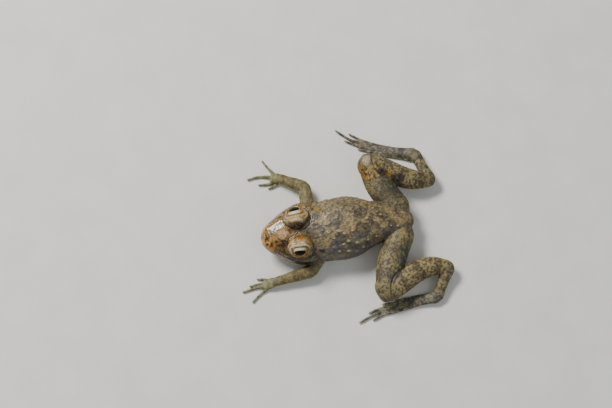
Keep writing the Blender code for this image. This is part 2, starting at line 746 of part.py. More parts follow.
def dress(nodes):
    """A material for each piece: warm head, khaki body and limbs, gold and black eyes."""
    finishes = {
        "head": material("head_skin", (0.33, 0.16, 0.045), 0.3),
        "eye": material("eye", (0.10, 0.055, 0.01), 0.05),
        "tympanum": material("eardrum", (0.20, 0.11, 0.045), 0.4),
        "limb": material("limb_skin", (0.26, 0.20, 0.10), 0.45),
        "torso": material("back_skin", (0.22, 0.17, 0.09), 0.45),
    }
    for obj in nodes:
        kind = obj.name.split("_")[0]
        obj.data.materials.clear()
        obj.data.materials.append(finishes.get(kind, finishes["limb"]))


def main():
    clear_scene()
    pieces, paths = [body()], []
    for side in SIGNS:
        centre, _ = eye_frame(side)
        pieces.append(ellipsoid("eye_bulge", centre, EYE_BULGE))
        for build in (arm, leg):
            made, lines = build(side)
            pieces += made
            paths += lines
    frog = join("frog", pieces)
    fuse(frog, VOXEL)
    soften(frog, paths, SMOOTH_STEPS)
    carve(frog)
    simplify(frog, TRIANGLES)
    cut(frog, floor_cutter())
    cutters = [cutter for side in SIGNS for cutter in (*socket_cutters(side), tympanum_cutter(side))]
    for cutter in [*cutters, *parting_cutters()]:
        cut(frog, cutter)
    part_out(frog)
    for side in SIGNS:
        eyeball(side)
    nodes = list(bpy.context.scene.collection.objects)
    dress(nodes)
    for obj in nodes:
        obj.data.transform(Matrix.Scale(MM, 4))
        obj.data.shade_smooth()
        obj.data.set_sharp_from_angle(angle=math.radians(40))


main()
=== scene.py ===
"""Looks of the Indian skipper frog: one skin over the whole body, two eyes, camera, light and floor.

The forms are those of the solids, in millimetres, fused finer and then worked over with folds,
warts and markings. The finished meshes are scaled to metres in the shared frame.
"""

import math

import bmesh
import bpy
import numpy as np
from mathutils import Matrix, Vector


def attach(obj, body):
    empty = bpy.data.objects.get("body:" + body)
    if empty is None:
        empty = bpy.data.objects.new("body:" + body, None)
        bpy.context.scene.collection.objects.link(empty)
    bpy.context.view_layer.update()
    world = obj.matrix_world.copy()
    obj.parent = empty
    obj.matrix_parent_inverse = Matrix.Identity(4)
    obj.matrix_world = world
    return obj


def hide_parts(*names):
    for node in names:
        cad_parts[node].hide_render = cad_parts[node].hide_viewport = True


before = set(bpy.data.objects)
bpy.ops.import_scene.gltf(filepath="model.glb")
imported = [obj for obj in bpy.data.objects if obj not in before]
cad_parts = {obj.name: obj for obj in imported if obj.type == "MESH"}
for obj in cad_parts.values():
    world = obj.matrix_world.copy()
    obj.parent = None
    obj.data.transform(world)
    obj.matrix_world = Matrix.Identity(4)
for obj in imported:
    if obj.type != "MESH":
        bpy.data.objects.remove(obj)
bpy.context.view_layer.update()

MM = 0.001

# Snout to vent is 55 mm. Rows: x, half width, height of the widest level, rise above it,
# drop below it, shift of the middle towards the right side.
BODY_SECTIONS = (
    (-26.0, 0.0, 7.4, 0.0, 0.0, 0.0),
    (-25.2, 2.9, 7.4, 2.0, 1.9, 0.0),
    (-23.5, 4.8, 7.3, 3.2, 3.1, 0.0),
    (-21.0, 6.6, 7.0, 4.3, 4.0, 0.0),
    (-18.0, 8.6, 6.8, 5.1, 4.6, 0.0),
    (-15.0, 10.1, 6.5, 5.8, 5.0, 0.0),
    (-12.0, 11.0, 6.3, 6.3, 5.4, 0.0),
    (-9.0, 11.1, 6.2, 6.7, 5.8, 0.0),
    (-6.0, 10.9, 6.2, 7.2, 6.1, 0.0),
    (-3.0, 11.0, 6.2, 7.8, 6.4, 0.1),
    (1.0, 11.3, 6.2, 8.4, 6.7, 0.2),
    (5.0, 11.3, 6.2, 8.7, 6.8, 0.3),
    (9.0, 10.3, 6.3, 8.4, 6.8, 0.4),
    (13.0, 8.4, 6.5, 7.7, 6.7, 0.5),
    (17.0, 7.1, 6.6, 6.7, 6.0, 0.4),
    (21.0, 6.4, 6.6, 5.6, 5.0, 0.2),
    (25.0, 5.0, 6.5, 4.3, 4.0, 0.0),
    (27.5, 3.2, 6.5, 2.8, 2.7, 0.0),
    (29.0, 0.0, 6.6, 0.0, 0.0, 0.0),
)
BACK_POWER = 2.25  # how square the section is above its widest level; 2 is an ellipse
BELLY_POWER = 2.4
BODY_RINGS, BODY_SIDES = 90, 56

SIGNS = {"right": 1, "left": -1}

# The head is rolled a little to its left about a line along its middle.
HEAD_ROLL = math.radians(8.0)
ROLL_HEIGHT = 7.0
ROLL_FROM, ROLL_TO = -3.0, -11.0

# The eyes stand high and close together. Places are for the right eye, before the roll.
EYE_CENTRE = (-12.8, 5.3, 12.0)
EYE_RADIUS = 3.6
EYE_BULGE = (4.7, 4.2, 4.3)
EYE_AXIS = (-0.18, 0.70, 0.69)
EYE_LEVEL = (1, 0, 0.12)  # direction in which the gap between the lids runs
LID_OPENING = (2.9, 2.3)  # half length and half height of the gap between the lids

NOSTRIL = (-24.0, 2.5, 9.4)
TYMPANUM = (-8.2, 10.0, 9.2)
TYMPANUM_RADIUS = 1.75
MOUTH_END = -8.4
MOUTH_HEIGHT = 6.1

# Raised lines of the skin on the right side: the fold behind the eye, the edge of the snout
# and the ridge along the back.
FOLD = ((-9.2, 8.4, 12.4), (-6.8, 9.4, 11.4), (-5.0, 10.2, 9.4), (-5.4, 10.8, 7.4))
CANTHUS = ((-24.6, 2.6, 9.3), (-21.5, 4.0, 10.4), (-18.0, 5.6, 11.2))
BACK_RIDGE = ((-5.5, 7.6, 11.6), (0.0, 8.4, 11.8), (6.0, 8.3, 11.6), (12.0, 6.3, 11.0), (18.0, 4.8, 10.2))

# Ridges and grooves beside a line or round a place: height, distance from it, width.
MOUTH_RIDGES = ((-0.62, 0, 0.26), (0.24, 0.75, 0.5), (0.16, -0.7, 0.45))
NOSTRIL_RIDGES = ((0.13, 0.85, 0.35), (-0.75, 0, 0.4))
CANTHUS_RIDGES = ((0.2, 0, 0.9),)
FOLD_RIDGES = ((0.42, 0, 0.6), (-0.12, 1.2, 0.4))
DRUM_RIDGES = ((0.16, TYMPANUM_RADIUS, 0.24), (0.08, 0, 0.5))
DRUM_HOLLOW = 0.16
UPPER_LID_RIDGES = ((-0.12, 1.38, 0.028), (-0.10, 1.58, 0.028), (-0.07, 1.8, 0.028))
LOWER_LID_RIDGES = ((-0.1, 1.38, 0.05),)
BULGE_RIDGES = ((-0.16, 1.1, 0.05), (-0.08, 1.24, 0.04))

# Joints, as centres of the limb there.
SHOULDER = {"right": (-7.9, 8.0, 3.8), "left": (-6.2, -7.6, 3.3)}
ELBOW = {"right": (-8.0, 18.3, 3.9), "left": (-9.9, -13.2, 3.2)}
WRIST = {"right": (-16.6, 23.6, 2.2), "left": (-23.2, -14.9, 2.2)}
HIP = {"right": (25.0, 2.6, 6.3), "left": (25.0, -2.8, 6.3)}
KNEE = {"right": (15.6, 23.3, 8.2), "left": (15.1, -25.8, 5.6)}
HEEL = {"right": (37.0, 14.6, 3.8), "left": (38.6, -18.7, 3.6)}
ANKLE = {"right": (33.5, 25.8, 1.7), "left": (33.2, -28.4, 1.7)}

# A place on the way along each thigh and shank, which bows the limb, and the round of each knee
# as its centre and radii.
THIGH_BEND = {"right": (18.6, 14.0, 7.6), "left": (18.6, -14.6, 6.2)}
SHANK_BEND = {"right": (31.6, 15.1, 5.0), "left": (33.1, -17.8, 4.6)}
KNEE_LUMP = {"right": ((15.2, 21.4, 8.4), (3.5, 4.3, 3.5)), "left": ((14.6, -23.4, 5.8), (3.3, 4.2, 3.4))}

# Limb sections: share of the way from joint to joint, half width, half height.
UPPER_ARM = ((-0.25, 0, 0), (0.0, 2.8, 2.7), (0.4, 2.6, 2.5), (0.8, 2.35, 2.2), (1.0, 2.2, 2.1), (1.2, 0, 0))
FOREARM = ((-0.18, 0, 0), (0.0, 2.1, 2.1), (0.3, 2.15, 2.0), (0.7, 1.8, 1.6), (1.0, 1.6, 1.25), (1.15, 0, 0))
THIGH = (
    (-0.1, 0, 0),
    (0.06, 4.4, 4.0),
    (0.3, 4.9, 4.4),
    (0.55, 5.1, 4.5),
    (0.8, 4.5, 4.0),
    (1.0, 3.4, 3.3),
    (1.13, 0, 0),
)
SHANK = (
    (-0.12, 0, 0),
    (0.0, 3.2, 3.2),
    (0.2, 3.9, 3.7),
    (0.42, 4.0, 3.7),
    (0.7, 3.7, 3.2),
    (0.92, 2.9, 2.5),
    (1.0, 2.5, 2.3),
    (1.09, 0, 0),
)
TARSUS = ((-0.2, 0, 0), (0.0, 2.4, 2.2), (0.35, 2.1, 1.9), (0.75, 2.0, 1.7), (1.0, 2.1, 1.5), (1.18, 0, 0))
SOLE = ((-0.12, 0, 0), (0.0, 2.0, 1.4), (0.35, 1.9, 1.1), (0.7, 1.75, 0.85), (1.0, 1.7, 0.6), (1.15, 0, 0))
PALM = ((-0.25, 0, 0), (0.0, 1.55, 1.2), (0.5, 1.9, 1.0), (1.0, 1.7, 0.75), (1.25, 0, 0))

# The fourth toe's line on the floor. The other toes lie along it: millimetres outward of it
# where they start and where they end, share of its length that they reach, and radius.
TOE_LINE = {
    "right": ((33.0, 25.4), (26.2, 28.2), (19.3, 30.8), (14.2, 33.1), (10.3, 35.6), (6.5, 39.1)),
    "left": ((32.8, -28.2), (25.2, -29.2), (18.5, -30.2), (13.8, -30.4), (10.2, -31.4), (4.5, -33.7)),
}
TOES = (
    (-1.5, -2.9, 0.50, 0.66),
    (-1.1, -2.3, 0.66, 0.68),
    (-0.5, -1.35, 0.84, 0.72),
    (0.0, 0.0, 1.0, 0.76),
    (0.7, 1.7, 0.84, 0.72),
)
SOLE_SHARE = 11.0 / 30  # share of the fourth toe's line at which the sole ends

# Fingers as lines of places on the floor from the palm to the tip, and their radii.
FINGERS = {
    "right": (
        ((-16.6, 22.7), (-18.7, 21.2), (-20.9, 20.5)),
        ((-17.0, 23.3), (-19.2, 22.5), (-21.6, 22.3), (-24.2, 22.5)),
        ((-17.2, 24.1), (-21.0, 25.2), (-24.6, 25.5), (-27.9, 25.0)),
        ((-17.2, 24.7), (-18.9, 27.0), (-20.4, 29.2), (-21.7, 31.6)),
    ),
    "left": (
        ((-24.6, -14.3), (-27.0, -13.0), (-29.6, -12.6)),
        ((-24.8, -14.9), (-28.6, -14.5), (-32.5, -14.9)),
        ((-24.8, -15.5), (-30.0, -15.7), (-35.2, -16.7)),
        ((-24.6, -15.9), (-28.0, -17.6), (-32.3, -20.9)),
    ),
}
FINGER_RADII = (0.60, 0.64, 0.66, 0.60)
PALM_END = {"right": (-19.2, 24.4, 0.9), "left": (-27.2, -15.3, 0.9)}
TIP_SHARE = 0.55  # a digit's radius at its tip, as a share of that at its start
DIGIT_HEIGHT = 0.52  # centre of a digit that lies on the floor
WEB_THICKNESS = 0.62
WEB_START = 0.3
WEB_END = 0.93
WEB_DIP = 0.16

# The fold between each thigh and shank: the height below which it fades, and places along it.
KNEE_FLOOR = {"right": 1.9, "left": 1.35}
KNEE_CREASE = {
    "right": (
        (17.8, 29.0), (17.4, 25.5), (17.3, 21.2), (19.6, 17.0),
        (22.6, 14.9), (25.4, 12.4), (27.6, 8.5),
    ),
    "left": (
        (16.8, -30.4), (16.8, -27.0), (17.0, -24.2), (18.4, -21.4),
        (20.4, -19.4), (23.4, -16.6), (26.0, -12.6),
    ),
}
KNEE_FOLD_DEPTH, KNEE_FOLD_WIDTH = 0.4, 0.3

# Creases at the joints: kind of limb, and shares of its length.
JOINT_CREASES = (
    ("thigh", (0.86, 0.95)),
    ("shank", (0.05, 0.12, 0.93)),
    ("tarsus", (0.08, 0.92)),
    ("upper_arm", (0.9,)),
    ("forearm", (0.08, 0.16, 0.9, 0.97)),
)
CREASE_DEPTH, CREASE_WIDTH = 0.07, 0.012

VOXEL = 0.17
SMOOTH_STEPS = 16
DIGIT_CALM = (1.2, 3.5)  # distances from a digit over which the smoothing comes in
EYE_PUSH = 0.3  # how far the eyeball stands out of its bulge's middle
LID_DEPTH = 0.16  # thickness of the lid's edge over the eyeball
LID_LEAN = 0.03  # how far the gap between the lids bends towards the crown at its ends
LID_ROLL = 0.16  # how far the lid's edge is raised
SOCKET_DEPTH = 0.9  # how far the skin behind the eyeball's front is drawn in
RIM_RADIUS, RIM_LIFT = 0.27, 0.06  # the smooth edge of the lids, and its height over the eyeball

FAR = 50.0  # distance given to places that are nowhere near a limb
REACH = 9.0  # how far from a limb's line its own distance is worked out
PART_EDGE = 0.315  # how soft the border of a limb is
PATH_STEP = 0.01  # share of a path over which its direction is taken
LENGTHWISE = (0.75, 1.0, 1.0)  # draws a pattern out along the body

# The camera: where it looks from, what it looks at, and the width it sees there.
AZIMUTH, ELEVATION = math.radians(-8.18), math.radians(72)
VIEW_WIDTH = 218.9
VIEW_SHIFT = (-9.93, 11.29)
CAMERA_DISTANCE = 1000.0
AIM_LIFT = 5.0  # how far the point looked at is raised towards the camera
SENSOR = 36.0

# Lights, in metres: name, place, size, power in watts, colour.
SOFTBOXES = (
    ("key", (-0.4, 0.45, 0.7), (0.35, 0.25), 11.0, (1.0, 0.97, 0.92)),
    ("fill", (0.5, -0.5, 0.6), (0.6, 0.6), 1.6, (0.9, 0.95, 1.0)),
)
LIT_PLACE = Vector((0, 0, 0.005))
SKY_COLOUR, SKY_STRENGTH = (0.93, 0.96, 1.0, 1), 0.36

RICHNESS = 1.3  # how much stronger the skin's colours are than the tones they are given in
FLOOR_DROP = 0.00005  # metres from the model's lowest level down to the floor
PUPIL = (2.0, 1.15)  # half length and half height
CORNEA_RISE = 0.12

SKIN_NODES = ("head", "torso")
PAIRED = ("tympanum", "upper_arm", "forearm", "hand", "thigh", "shank", "tarsus", "foot")


def unit(vector):
    vector = np.asarray(vector, float)
    return vector / np.linalg.norm(vector)


def ease(value, start, end):
    """0 at start, 1 at end, and smooth between; start may be above end."""
    share = np.clip((np.asarray(value, float) - start) / (end - start), 0, 1)
    return share * share * (3 - 2 * share)


def smooth(knots, values, at):
    """Cubic curve through the values at the knots, read at many places."""
    knots, values, at = np.asarray(knots, float), np.asarray(values, float), np.asarray(at, float)
    slopes = np.gradient(values, knots, axis=0)
    index = np.clip(np.searchsorted(knots, at, side="right") - 1, 0, len(knots) - 2)
    step = knots[index + 1] - knots[index]
    share = (at - knots[index]) / step
    if values.ndim > 1:
        step, share = step[:, None], share[:, None]
    left = (1 + 2 * share) * (1 - share) ** 2 * values[index]
    left = left + share * (1 - share) ** 2 * step * slopes[index]
    right = share**2 * (3 - 2 * share) * values[index + 1]
    right = right + share**2 * (share - 1) * step * slopes[index + 1]
    return left + right


def swell(knots, radii, at):
    """Radii between knots. Their squares are what runs smoothly, so an end of radius 0 is round."""
    return np.sqrt(np.maximum(smooth(knots, np.square(radii), at), 0))


def link(name, data):
    """A new object of this data in the scene."""
    obj = bpy.data.objects.new(name, data)
    bpy.context.scene.collection.objects.link(obj)
    return obj


def loft(name, rings):
    """A closed mesh over rings with equal counts of points, each end drawn together at its middle."""
    count = len(rings[0])
    ends = [rings[0].mean(axis=0), rings[-1].mean(axis=0)]
    points = np.concatenate([*rings, ends])
    around = np.arange(count)
    ahead = (around + 1) % count
    faces = []
    for ring in range(len(rings) - 1):
        low, high = ring * count, (ring + 1) * count
        faces += np.column_stack([low + around, low + ahead, high + ahead, high + around]).tolist()
    first, last = len(points) - 2, len(points) - 1
    base = (len(rings) - 1) * count
    faces += [(first, int(j), int(i)) for i, j in zip(around, ahead)]
    faces += [(last, int(base + i), int(base + j)) for i, j in zip(around, ahead)]
    return solid(name, points, faces)


def solid(name, points, faces):
    """A mesh object with its faces turned outward."""
    mesh = bpy.data.meshes.new(name)
    mesh.from_pydata(np.asarray(points).tolist(), [], faces)
    form = bmesh.new()
    form.from_mesh(mesh)
    bmesh.ops.recalc_face_normals(form, faces=form.faces)
    form.to_mesh(mesh)
    form.free()
    return link(name, mesh)


def spaced(start, end, count):
    """Places from start to end, close together near both, where a form rounds off."""
    turn = np.linspace(0, math.pi, count + 2)[1:-1]
    return start + (end - start) * (1 - np.cos(turn)) / 2


def ring_angles(count):
    return np.linspace(0, 2 * math.pi, count, endpoint=False)


def rolled(points, way=1):
    """Head points turned from the straight head to the rolled one, or back with way -1."""
    points = np.array(points, float)
    angle = way * HEAD_ROLL * ease(points[..., 0], ROLL_FROM, ROLL_TO)
    side, rise = points[..., 1].copy(), points[..., 2] - ROLL_HEIGHT
    points[..., 1] = side * np.cos(angle) - rise * np.sin(angle)
    points[..., 2] = side * np.sin(angle) + rise * np.cos(angle) + ROLL_HEIGHT
    return points


def mirrored(place, sign):
    return np.array([place[0], sign * place[1], place[2]])


def body():
    """Head and trunk as one loft from the snout to the vent."""
    x, wide, level, rise, drop, shift = np.array(BODY_SECTIONS).T
    rings = []
    for at in spaced(x[0], x[-1], BODY_RINGS):
        here = [at]
        half = swell(x, wide, here)[0]
        up, down = swell(x, rise, here)[0], swell(x, drop, here)[0]
        angle = ring_angles(BODY_SIDES)
        across, height = np.cos(angle), np.sin(angle)
        power = np.where(height > 0, BACK_POWER, BELLY_POWER)
        y = half * np.sign(across) * np.abs(across) ** (2 / power) + smooth(x, shift, here)[0]
        z = np.where(height > 0, up, down) * np.sign(height) * np.abs(height) ** (2 / power)
        rings.append(np.column_stack([np.full(len(y), at), y, z + smooth(x, level, here)[0]]))
    return loft("body", [rolled(ring) for ring in rings])


def ellipsoid(name, centre, radii, rings=24, sides=36):
    around = ring_angles(sides)
    made = []
    for height in spaced(-1, 1, rings):
        reach = math.sqrt(1 - height * height)
        local = np.column_stack([reach * np.cos(around), reach * np.sin(around), np.full(sides, height)])
        made.append(np.asarray(centre) + local * radii)
    return loft(name, made)


def eye_frame(side):
    """Centre of an eyeball, and the axes along, across and out of the gap between its lids."""
    straight = mirrored(EYE_CENTRE, SIGNS[side])
    centre = rolled(straight)
    out = unit(rolled(straight + mirrored(EYE_AXIS, SIGNS[side])) - centre)
    along = unit(np.cross(out, np.cross(EYE_LEVEL, out)))
    return centre, np.array([along, np.cross(out, along), out])


def path_through(points):
    """A function that gives places on a smooth line through the points by share of its length."""
    points = np.array(points, float)
    steps = np.linalg.norm(np.diff(points, axis=0), axis=1)
    knots = np.concatenate([[0], np.cumsum(steps)]) / steps.sum()

    def place(at):
        at = np.atleast_1d(np.asarray(at, float))
        inside = np.clip(at, 0, 1)
        behind = smooth(knots, points, np.clip(inside - PATH_STEP, 0, 1))
        run = smooth(knots, points, np.clip(inside + PATH_STEP, 0, 1)) - behind
        heading = run / np.linalg.norm(run, axis=1)[:, None]
        spot = smooth(knots, points, inside) + heading * ((at - inside) * steps.sum())[:, None]
        return spot, heading

    return place


def tube(name, path, sections, sides=24, rings=30):
    """A limb or digit along a path. Each section is (share of the path, half width, half height)."""
    share, wide, tall = np.array(sections, float).T
    at = spaced(share[0], share[-1], rings)
    spots, headings = path(at)
    angle = ring_angles(sides)
    made = []
    for spot, heading, half, high in zip(spots, headings, swell(share, wide, at), swell(share, tall, at)):
        across = unit(np.cross((0, 0, 1), heading))
        up = np.cross(heading, across)
        made.append(spot + np.outer(half * np.cos(angle), across) + np.outer(high * np.sin(angle), up))
    return loft(name, made)


def on_floor(spots, root_height):
    """Places of a digit that leaves the palm or sole at some height and then lies on the floor."""
    heights = [max(DIGIT_HEIGHT, 0.5 * root_height)] + [DIGIT_HEIGHT] * (len(spots) - 1)
    return [(x, y, z) for (x, y), z in zip(spots, heights)]


def toe_path(side, start_shift, end_shift, reach):
    """A toe that runs beside the fourth toe's line, and ends at its own share of that line."""
    line = path_through([(x, y, 0) for x, y in TOE_LINE[side]])
    spots = []
    for share in np.linspace(0.03, reach, 6):
        spot, heading = (found[0] for found in line(share))
        outward = np.array([-heading[1], heading[0]]) * -SIGNS[side]
        shift = start_shift + (end_shift - start_shift) * (share / reach) ** 1.3
        spots.append(tuple(spot[:2] + outward * shift))
    return path_through(on_floor(spots, ANKLE[side][2]))


def digit(name, path, radius):
    """A finger or toe: tapered, a little thicker at its two joints, with a rounded tip."""
    sections = [(0.0, radius, radius)]
    for share, extra in ((0.18, 1.0), (0.38, 1.1), (0.54, 0.95), (0.7, 1.06), (0.86, 0.9)):
        size = radius * extra * (1 - (1 - TIP_SHARE) * share)
        sections.append((share, size, size))
    tip = radius * TIP_SHARE
    sections = [(-0.06, 0, 0), *sections, (0.97, tip, tip), (1.02, 0, 0)]
    return tube(name, path, sections, sides=12, rings=26)


def web(name, one, other):
    """The skin between two toes: a thin plate with a hollow front edge."""
    rows, columns = 14, 5
    grid = []
    for row in range(rows):
        for column in range(columns):
            across = column / (columns - 1)
            end = WEB_END - WEB_DIP * 4 * across * (1 - across)
            share = WEB_START + (end - WEB_START) * row / (rows - 1)
            here, there = one(share)[0][0], other(share)[0][0]
            grid.append(here + (there - here) * across)
    grid = np.array(grid)
    half = np.array([0, 0, WEB_THICKNESS / 2])
    points = np.concatenate([grid + half, grid - half])
    under = rows * columns
    faces = []
    for row in range(rows - 1):
        for column in range(columns - 1):
            a = row * columns + column
            faces.append((a, a + 1, a + columns + 1, a + columns))
            faces.append((under + a, under + a + columns, under + a + columns + 1, under + a + 1))
    last = (rows - 1) * columns
    edge = [*range(columns), *range(2 * columns - 1, rows * columns, columns)]
    edge += [*range(rows * columns - 2, last - 1, -1), *range(last - columns, 0, -columns)]
    for a, b in zip(edge, edge[1:] + edge[:1]):
        faces.append((a, b, under + b, under + a))
    return solid(name, points, faces)


def limb(kind, places, sections):
    path = path_through(places)
    remember(kind, path, sections)
    return tube(kind, path, sections)


def digits(kind, paths, radii):
    made = []
    for path, radius in zip(paths, radii):
        tip = radius * TIP_SHARE
        remember(kind, path, ((0, radius, radius), (1, tip, tip)))
        made.append(digit(kind, path, radius))
    return made


def arm(side):
    shoulder, elbow, wrist = SHOULDER[side], ELBOW[side], WRIST[side]
    pieces = [
        limb("upper_arm", (shoulder, elbow), UPPER_ARM),
        limb("forearm", (elbow, wrist), FOREARM),
        limb("palm", (wrist, PALM_END[side]), PALM),
    ]
    paths = [path_through(on_floor(spots, wrist[2])) for spots in FINGERS[side]]
    return pieces + digits("finger", paths, FINGER_RADII), paths


def leg(side):
    hip, knee, heel, ankle = HIP[side], KNEE[side], HEEL[side], ANKLE[side]
    sole = path_through([(x, y, 0) for x, y in TOE_LINE[side]])(SOLE_SHARE)[0][0]
    pieces = [
        limb("thigh", (hip, THIGH_BEND[side], knee), THIGH),
        limb("shank", (knee, SHANK_BEND[side], heel), SHANK),
        limb("tarsus", (heel, ankle), TARSUS),
        limb("sole", (ankle, (sole[0], sole[1] - 0.4 * SIGNS[side], 0.8)), SOLE),
        ellipsoid("knee", *KNEE_LUMP[side]),
    ]
    paths = [toe_path(side, *row[:3]) for row in TOES]
    pieces += digits("toe", paths, [row[3] for row in TOES])
    return pieces + [web("web", a, b) for a, b in zip(paths, paths[1:])], paths


def join(name, pieces):
    """All the pieces as one object, still as overlapping bodies."""
    form = bmesh.new()
    for piece in pieces:
        form.from_mesh(piece.data)
        bpy.data.objects.remove(piece)
    mesh = bpy.data.meshes.new(name)
    form.to_mesh(mesh)
    form.free()
    return link(name, mesh)


def apply_modifiers(obj):
    graph = bpy.context.evaluated_depsgraph_get()
    made = bpy.data.meshes.new_from_object(obj.evaluated_get(graph))
    obj.modifiers.clear()
    obj.data = made


def fuse(obj, voxel):
    """The overlapping bodies as one skin."""
    remesh = obj.modifiers.new("fuse", "REMESH")
    remesh.mode = "VOXEL"
    remesh.voxel_size = voxel
    apply_modifiers(obj)


def vectors(source, key):
    """One vector for each vertex, as an array."""
    values = np.empty(len(source) * 3, np.float32)
    source.foreach_get(key, values)
    return values.reshape(-1, 3).astype(float)


def places_of(mesh):
    return vectors(mesh.vertices, "co")


def surface_of(mesh):
    """What the folds and markings need to know of a mesh."""
    return Places(places_of(mesh), vectors(mesh.vertex_normals, "vector"))


def distance_to_digits(points, paths):
    nearest = np.full(len(points), FAR)
    low = points[:, 2] < DIGIT_HEIGHT + DIGIT_CALM[1]
    for path in paths:
        for spot in path(np.linspace(0.1, 1, 24))[0]:
            nearest[low] = np.minimum(nearest[low], np.linalg.norm(points[low] - spot, axis=1))
    return nearest


def soften(obj, paths):
    """Smooths the skin where forms meet, and leaves the thin digits as they are."""
    weights = ease(distance_to_digits(places_of(obj.data), paths), *DIGIT_CALM)
    group = obj.vertex_groups.new(name="soft")
    for index in np.nonzero(weights > 0.01)[0]:
        group.add([int(index)], float(weights[index]), "REPLACE")
    relax = obj.modifiers.new("soften", "SMOOTH")
    relax.factor = 0.5
    relax.iterations = SMOOTH_STEPS
    relax.vertex_group = group.name
    apply_modifiers(obj)
    obj.vertex_groups.clear()


def bump(distance, width):
    return np.exp(-np.square(distance / width))


def mouth_level(x):
    """Height of the mouth line: a little lower under the eye than at the snout and the corner."""
    return MOUTH_HEIGHT + 0.5 * ease(x, -18, -25) - 0.35 * np.sin(np.clip((x + 26) / 18, 0, 1) * math.pi)


LINES = []  # kind, places along it, and half width there, of every limb and digit


def remember(kind, path, sections):
    share, wide, _ = np.array(sections, float).T
    at = np.linspace(0, 1, 14)
    LINES.append((kind, path(at)[0], swell(share, wide, at)))


def lattice(cells, seed):
    """A value from 0 to 1 for each whole-numbered place, always the same."""
    cells = cells.astype(np.int64)
    mixed = cells[..., 0] * 73856093 ^ cells[..., 1] * 19349663
    mixed = mixed ^ cells[..., 2] * 83492791 ^ seed * 2654435761
    mixed = (mixed ^ (mixed >> 13)) * 1274126177 & 0x7FFFFFFF
    mixed = (mixed ^ (mixed >> 15)) * 974711 & 0x7FFFFFFF
    return (mixed % 65521) / 65521


def noise(points, size, seed, octaves=1):
    """Smooth noise from 0 to 1 with features of about the given size."""
    total, weight, amount = 0, 0, 1.0
    for octave in range(octaves):
        place = points / (size * 0.5**octave) + 17.3 * (octave + 1)
        base = np.floor(place)
        part = place - base
        part = part * part * (3 - 2 * part)
        value = 0
        for corner in np.ndindex(2, 2, 2):
            share = np.prod(np.where(corner, part, 1 - part), axis=1)
            value = value + share * lattice(base + corner, seed + octave)
        total, weight, amount = total + amount * value, weight + amount, amount * 0.55
    return total / weight


def grains(points, size, seed):
    """Distance to the nearest of many scattered grains, and a value from 0 to 1 of that grain."""
    base = np.floor(points / size)
    nearest, which = np.full(len(points), np.inf), np.zeros(len(points))
    for offset in np.ndindex(3, 3, 3):
        cell = base + np.array(offset) - 1
        spot = np.stack([lattice(cell, seed + axis) for axis in range(3)], axis=1)
        away = np.linalg.norm(points - (cell + spot) * size, axis=1)
        closer = away < nearest
        nearest = np.where(closer, away, nearest)
        which = np.where(closer, lattice(cell, seed + 9), which)
    return nearest, which


def tone(red, green, blue):
    """A colour given in 0 to 255 screen values, as linear light."""
    return (np.array([red, green, blue]) / 255) ** 2.2


def mix(a, b, share):
    """Colour a with colour b over it. A colour given as a tuple is in screen values."""
    a, b = (tone(*colour) if isinstance(colour, tuple) else colour for colour in (a, b))
    share = np.clip(share, 0, 1)
    share = share[:, None] if np.ndim(share) else share
    return a * (1 - share) + b * share


def lengths(rows):
    return np.linalg.norm(rows, axis=1)


def wander(points, size, seed, reach):
    """Points moved a little this way and that, so that what follows from them isn't straight."""
    shifts = np.stack([noise(points, size, seed + axis) for axis in range(3)], axis=1)
    return points + (shifts - 0.5) * 2 * reach


def patches(points, name, extra=0):
    """1 inside the patches of a named pattern and 0 between them; more of them where extra is added."""
    size, seed, octaves, start, end = PATCHES[name]
    return ease(noise(points, size, seed, octaves) + extra, start, end)


def waves(points, name):
    """How far the named waves stray to either side."""
    size, seed, octaves, reach = WAVES[name]
    return reach * (noise(points, size, seed, octaves) - 0.5)


def dots(points, name):
    """1 at the middles of the named scattered dots, and 0 between them."""
    size, seed, bare, reach = DOTS[name]
    away, pick = grains(points, size, seed)
    return (pick > bare) * bump(away, reach)


def ridges(distance, rows):
    """Height of the ridges and grooves in rows, at each distance."""
    return sum(height * bump(distance - place, width) for height, place, width in rows)


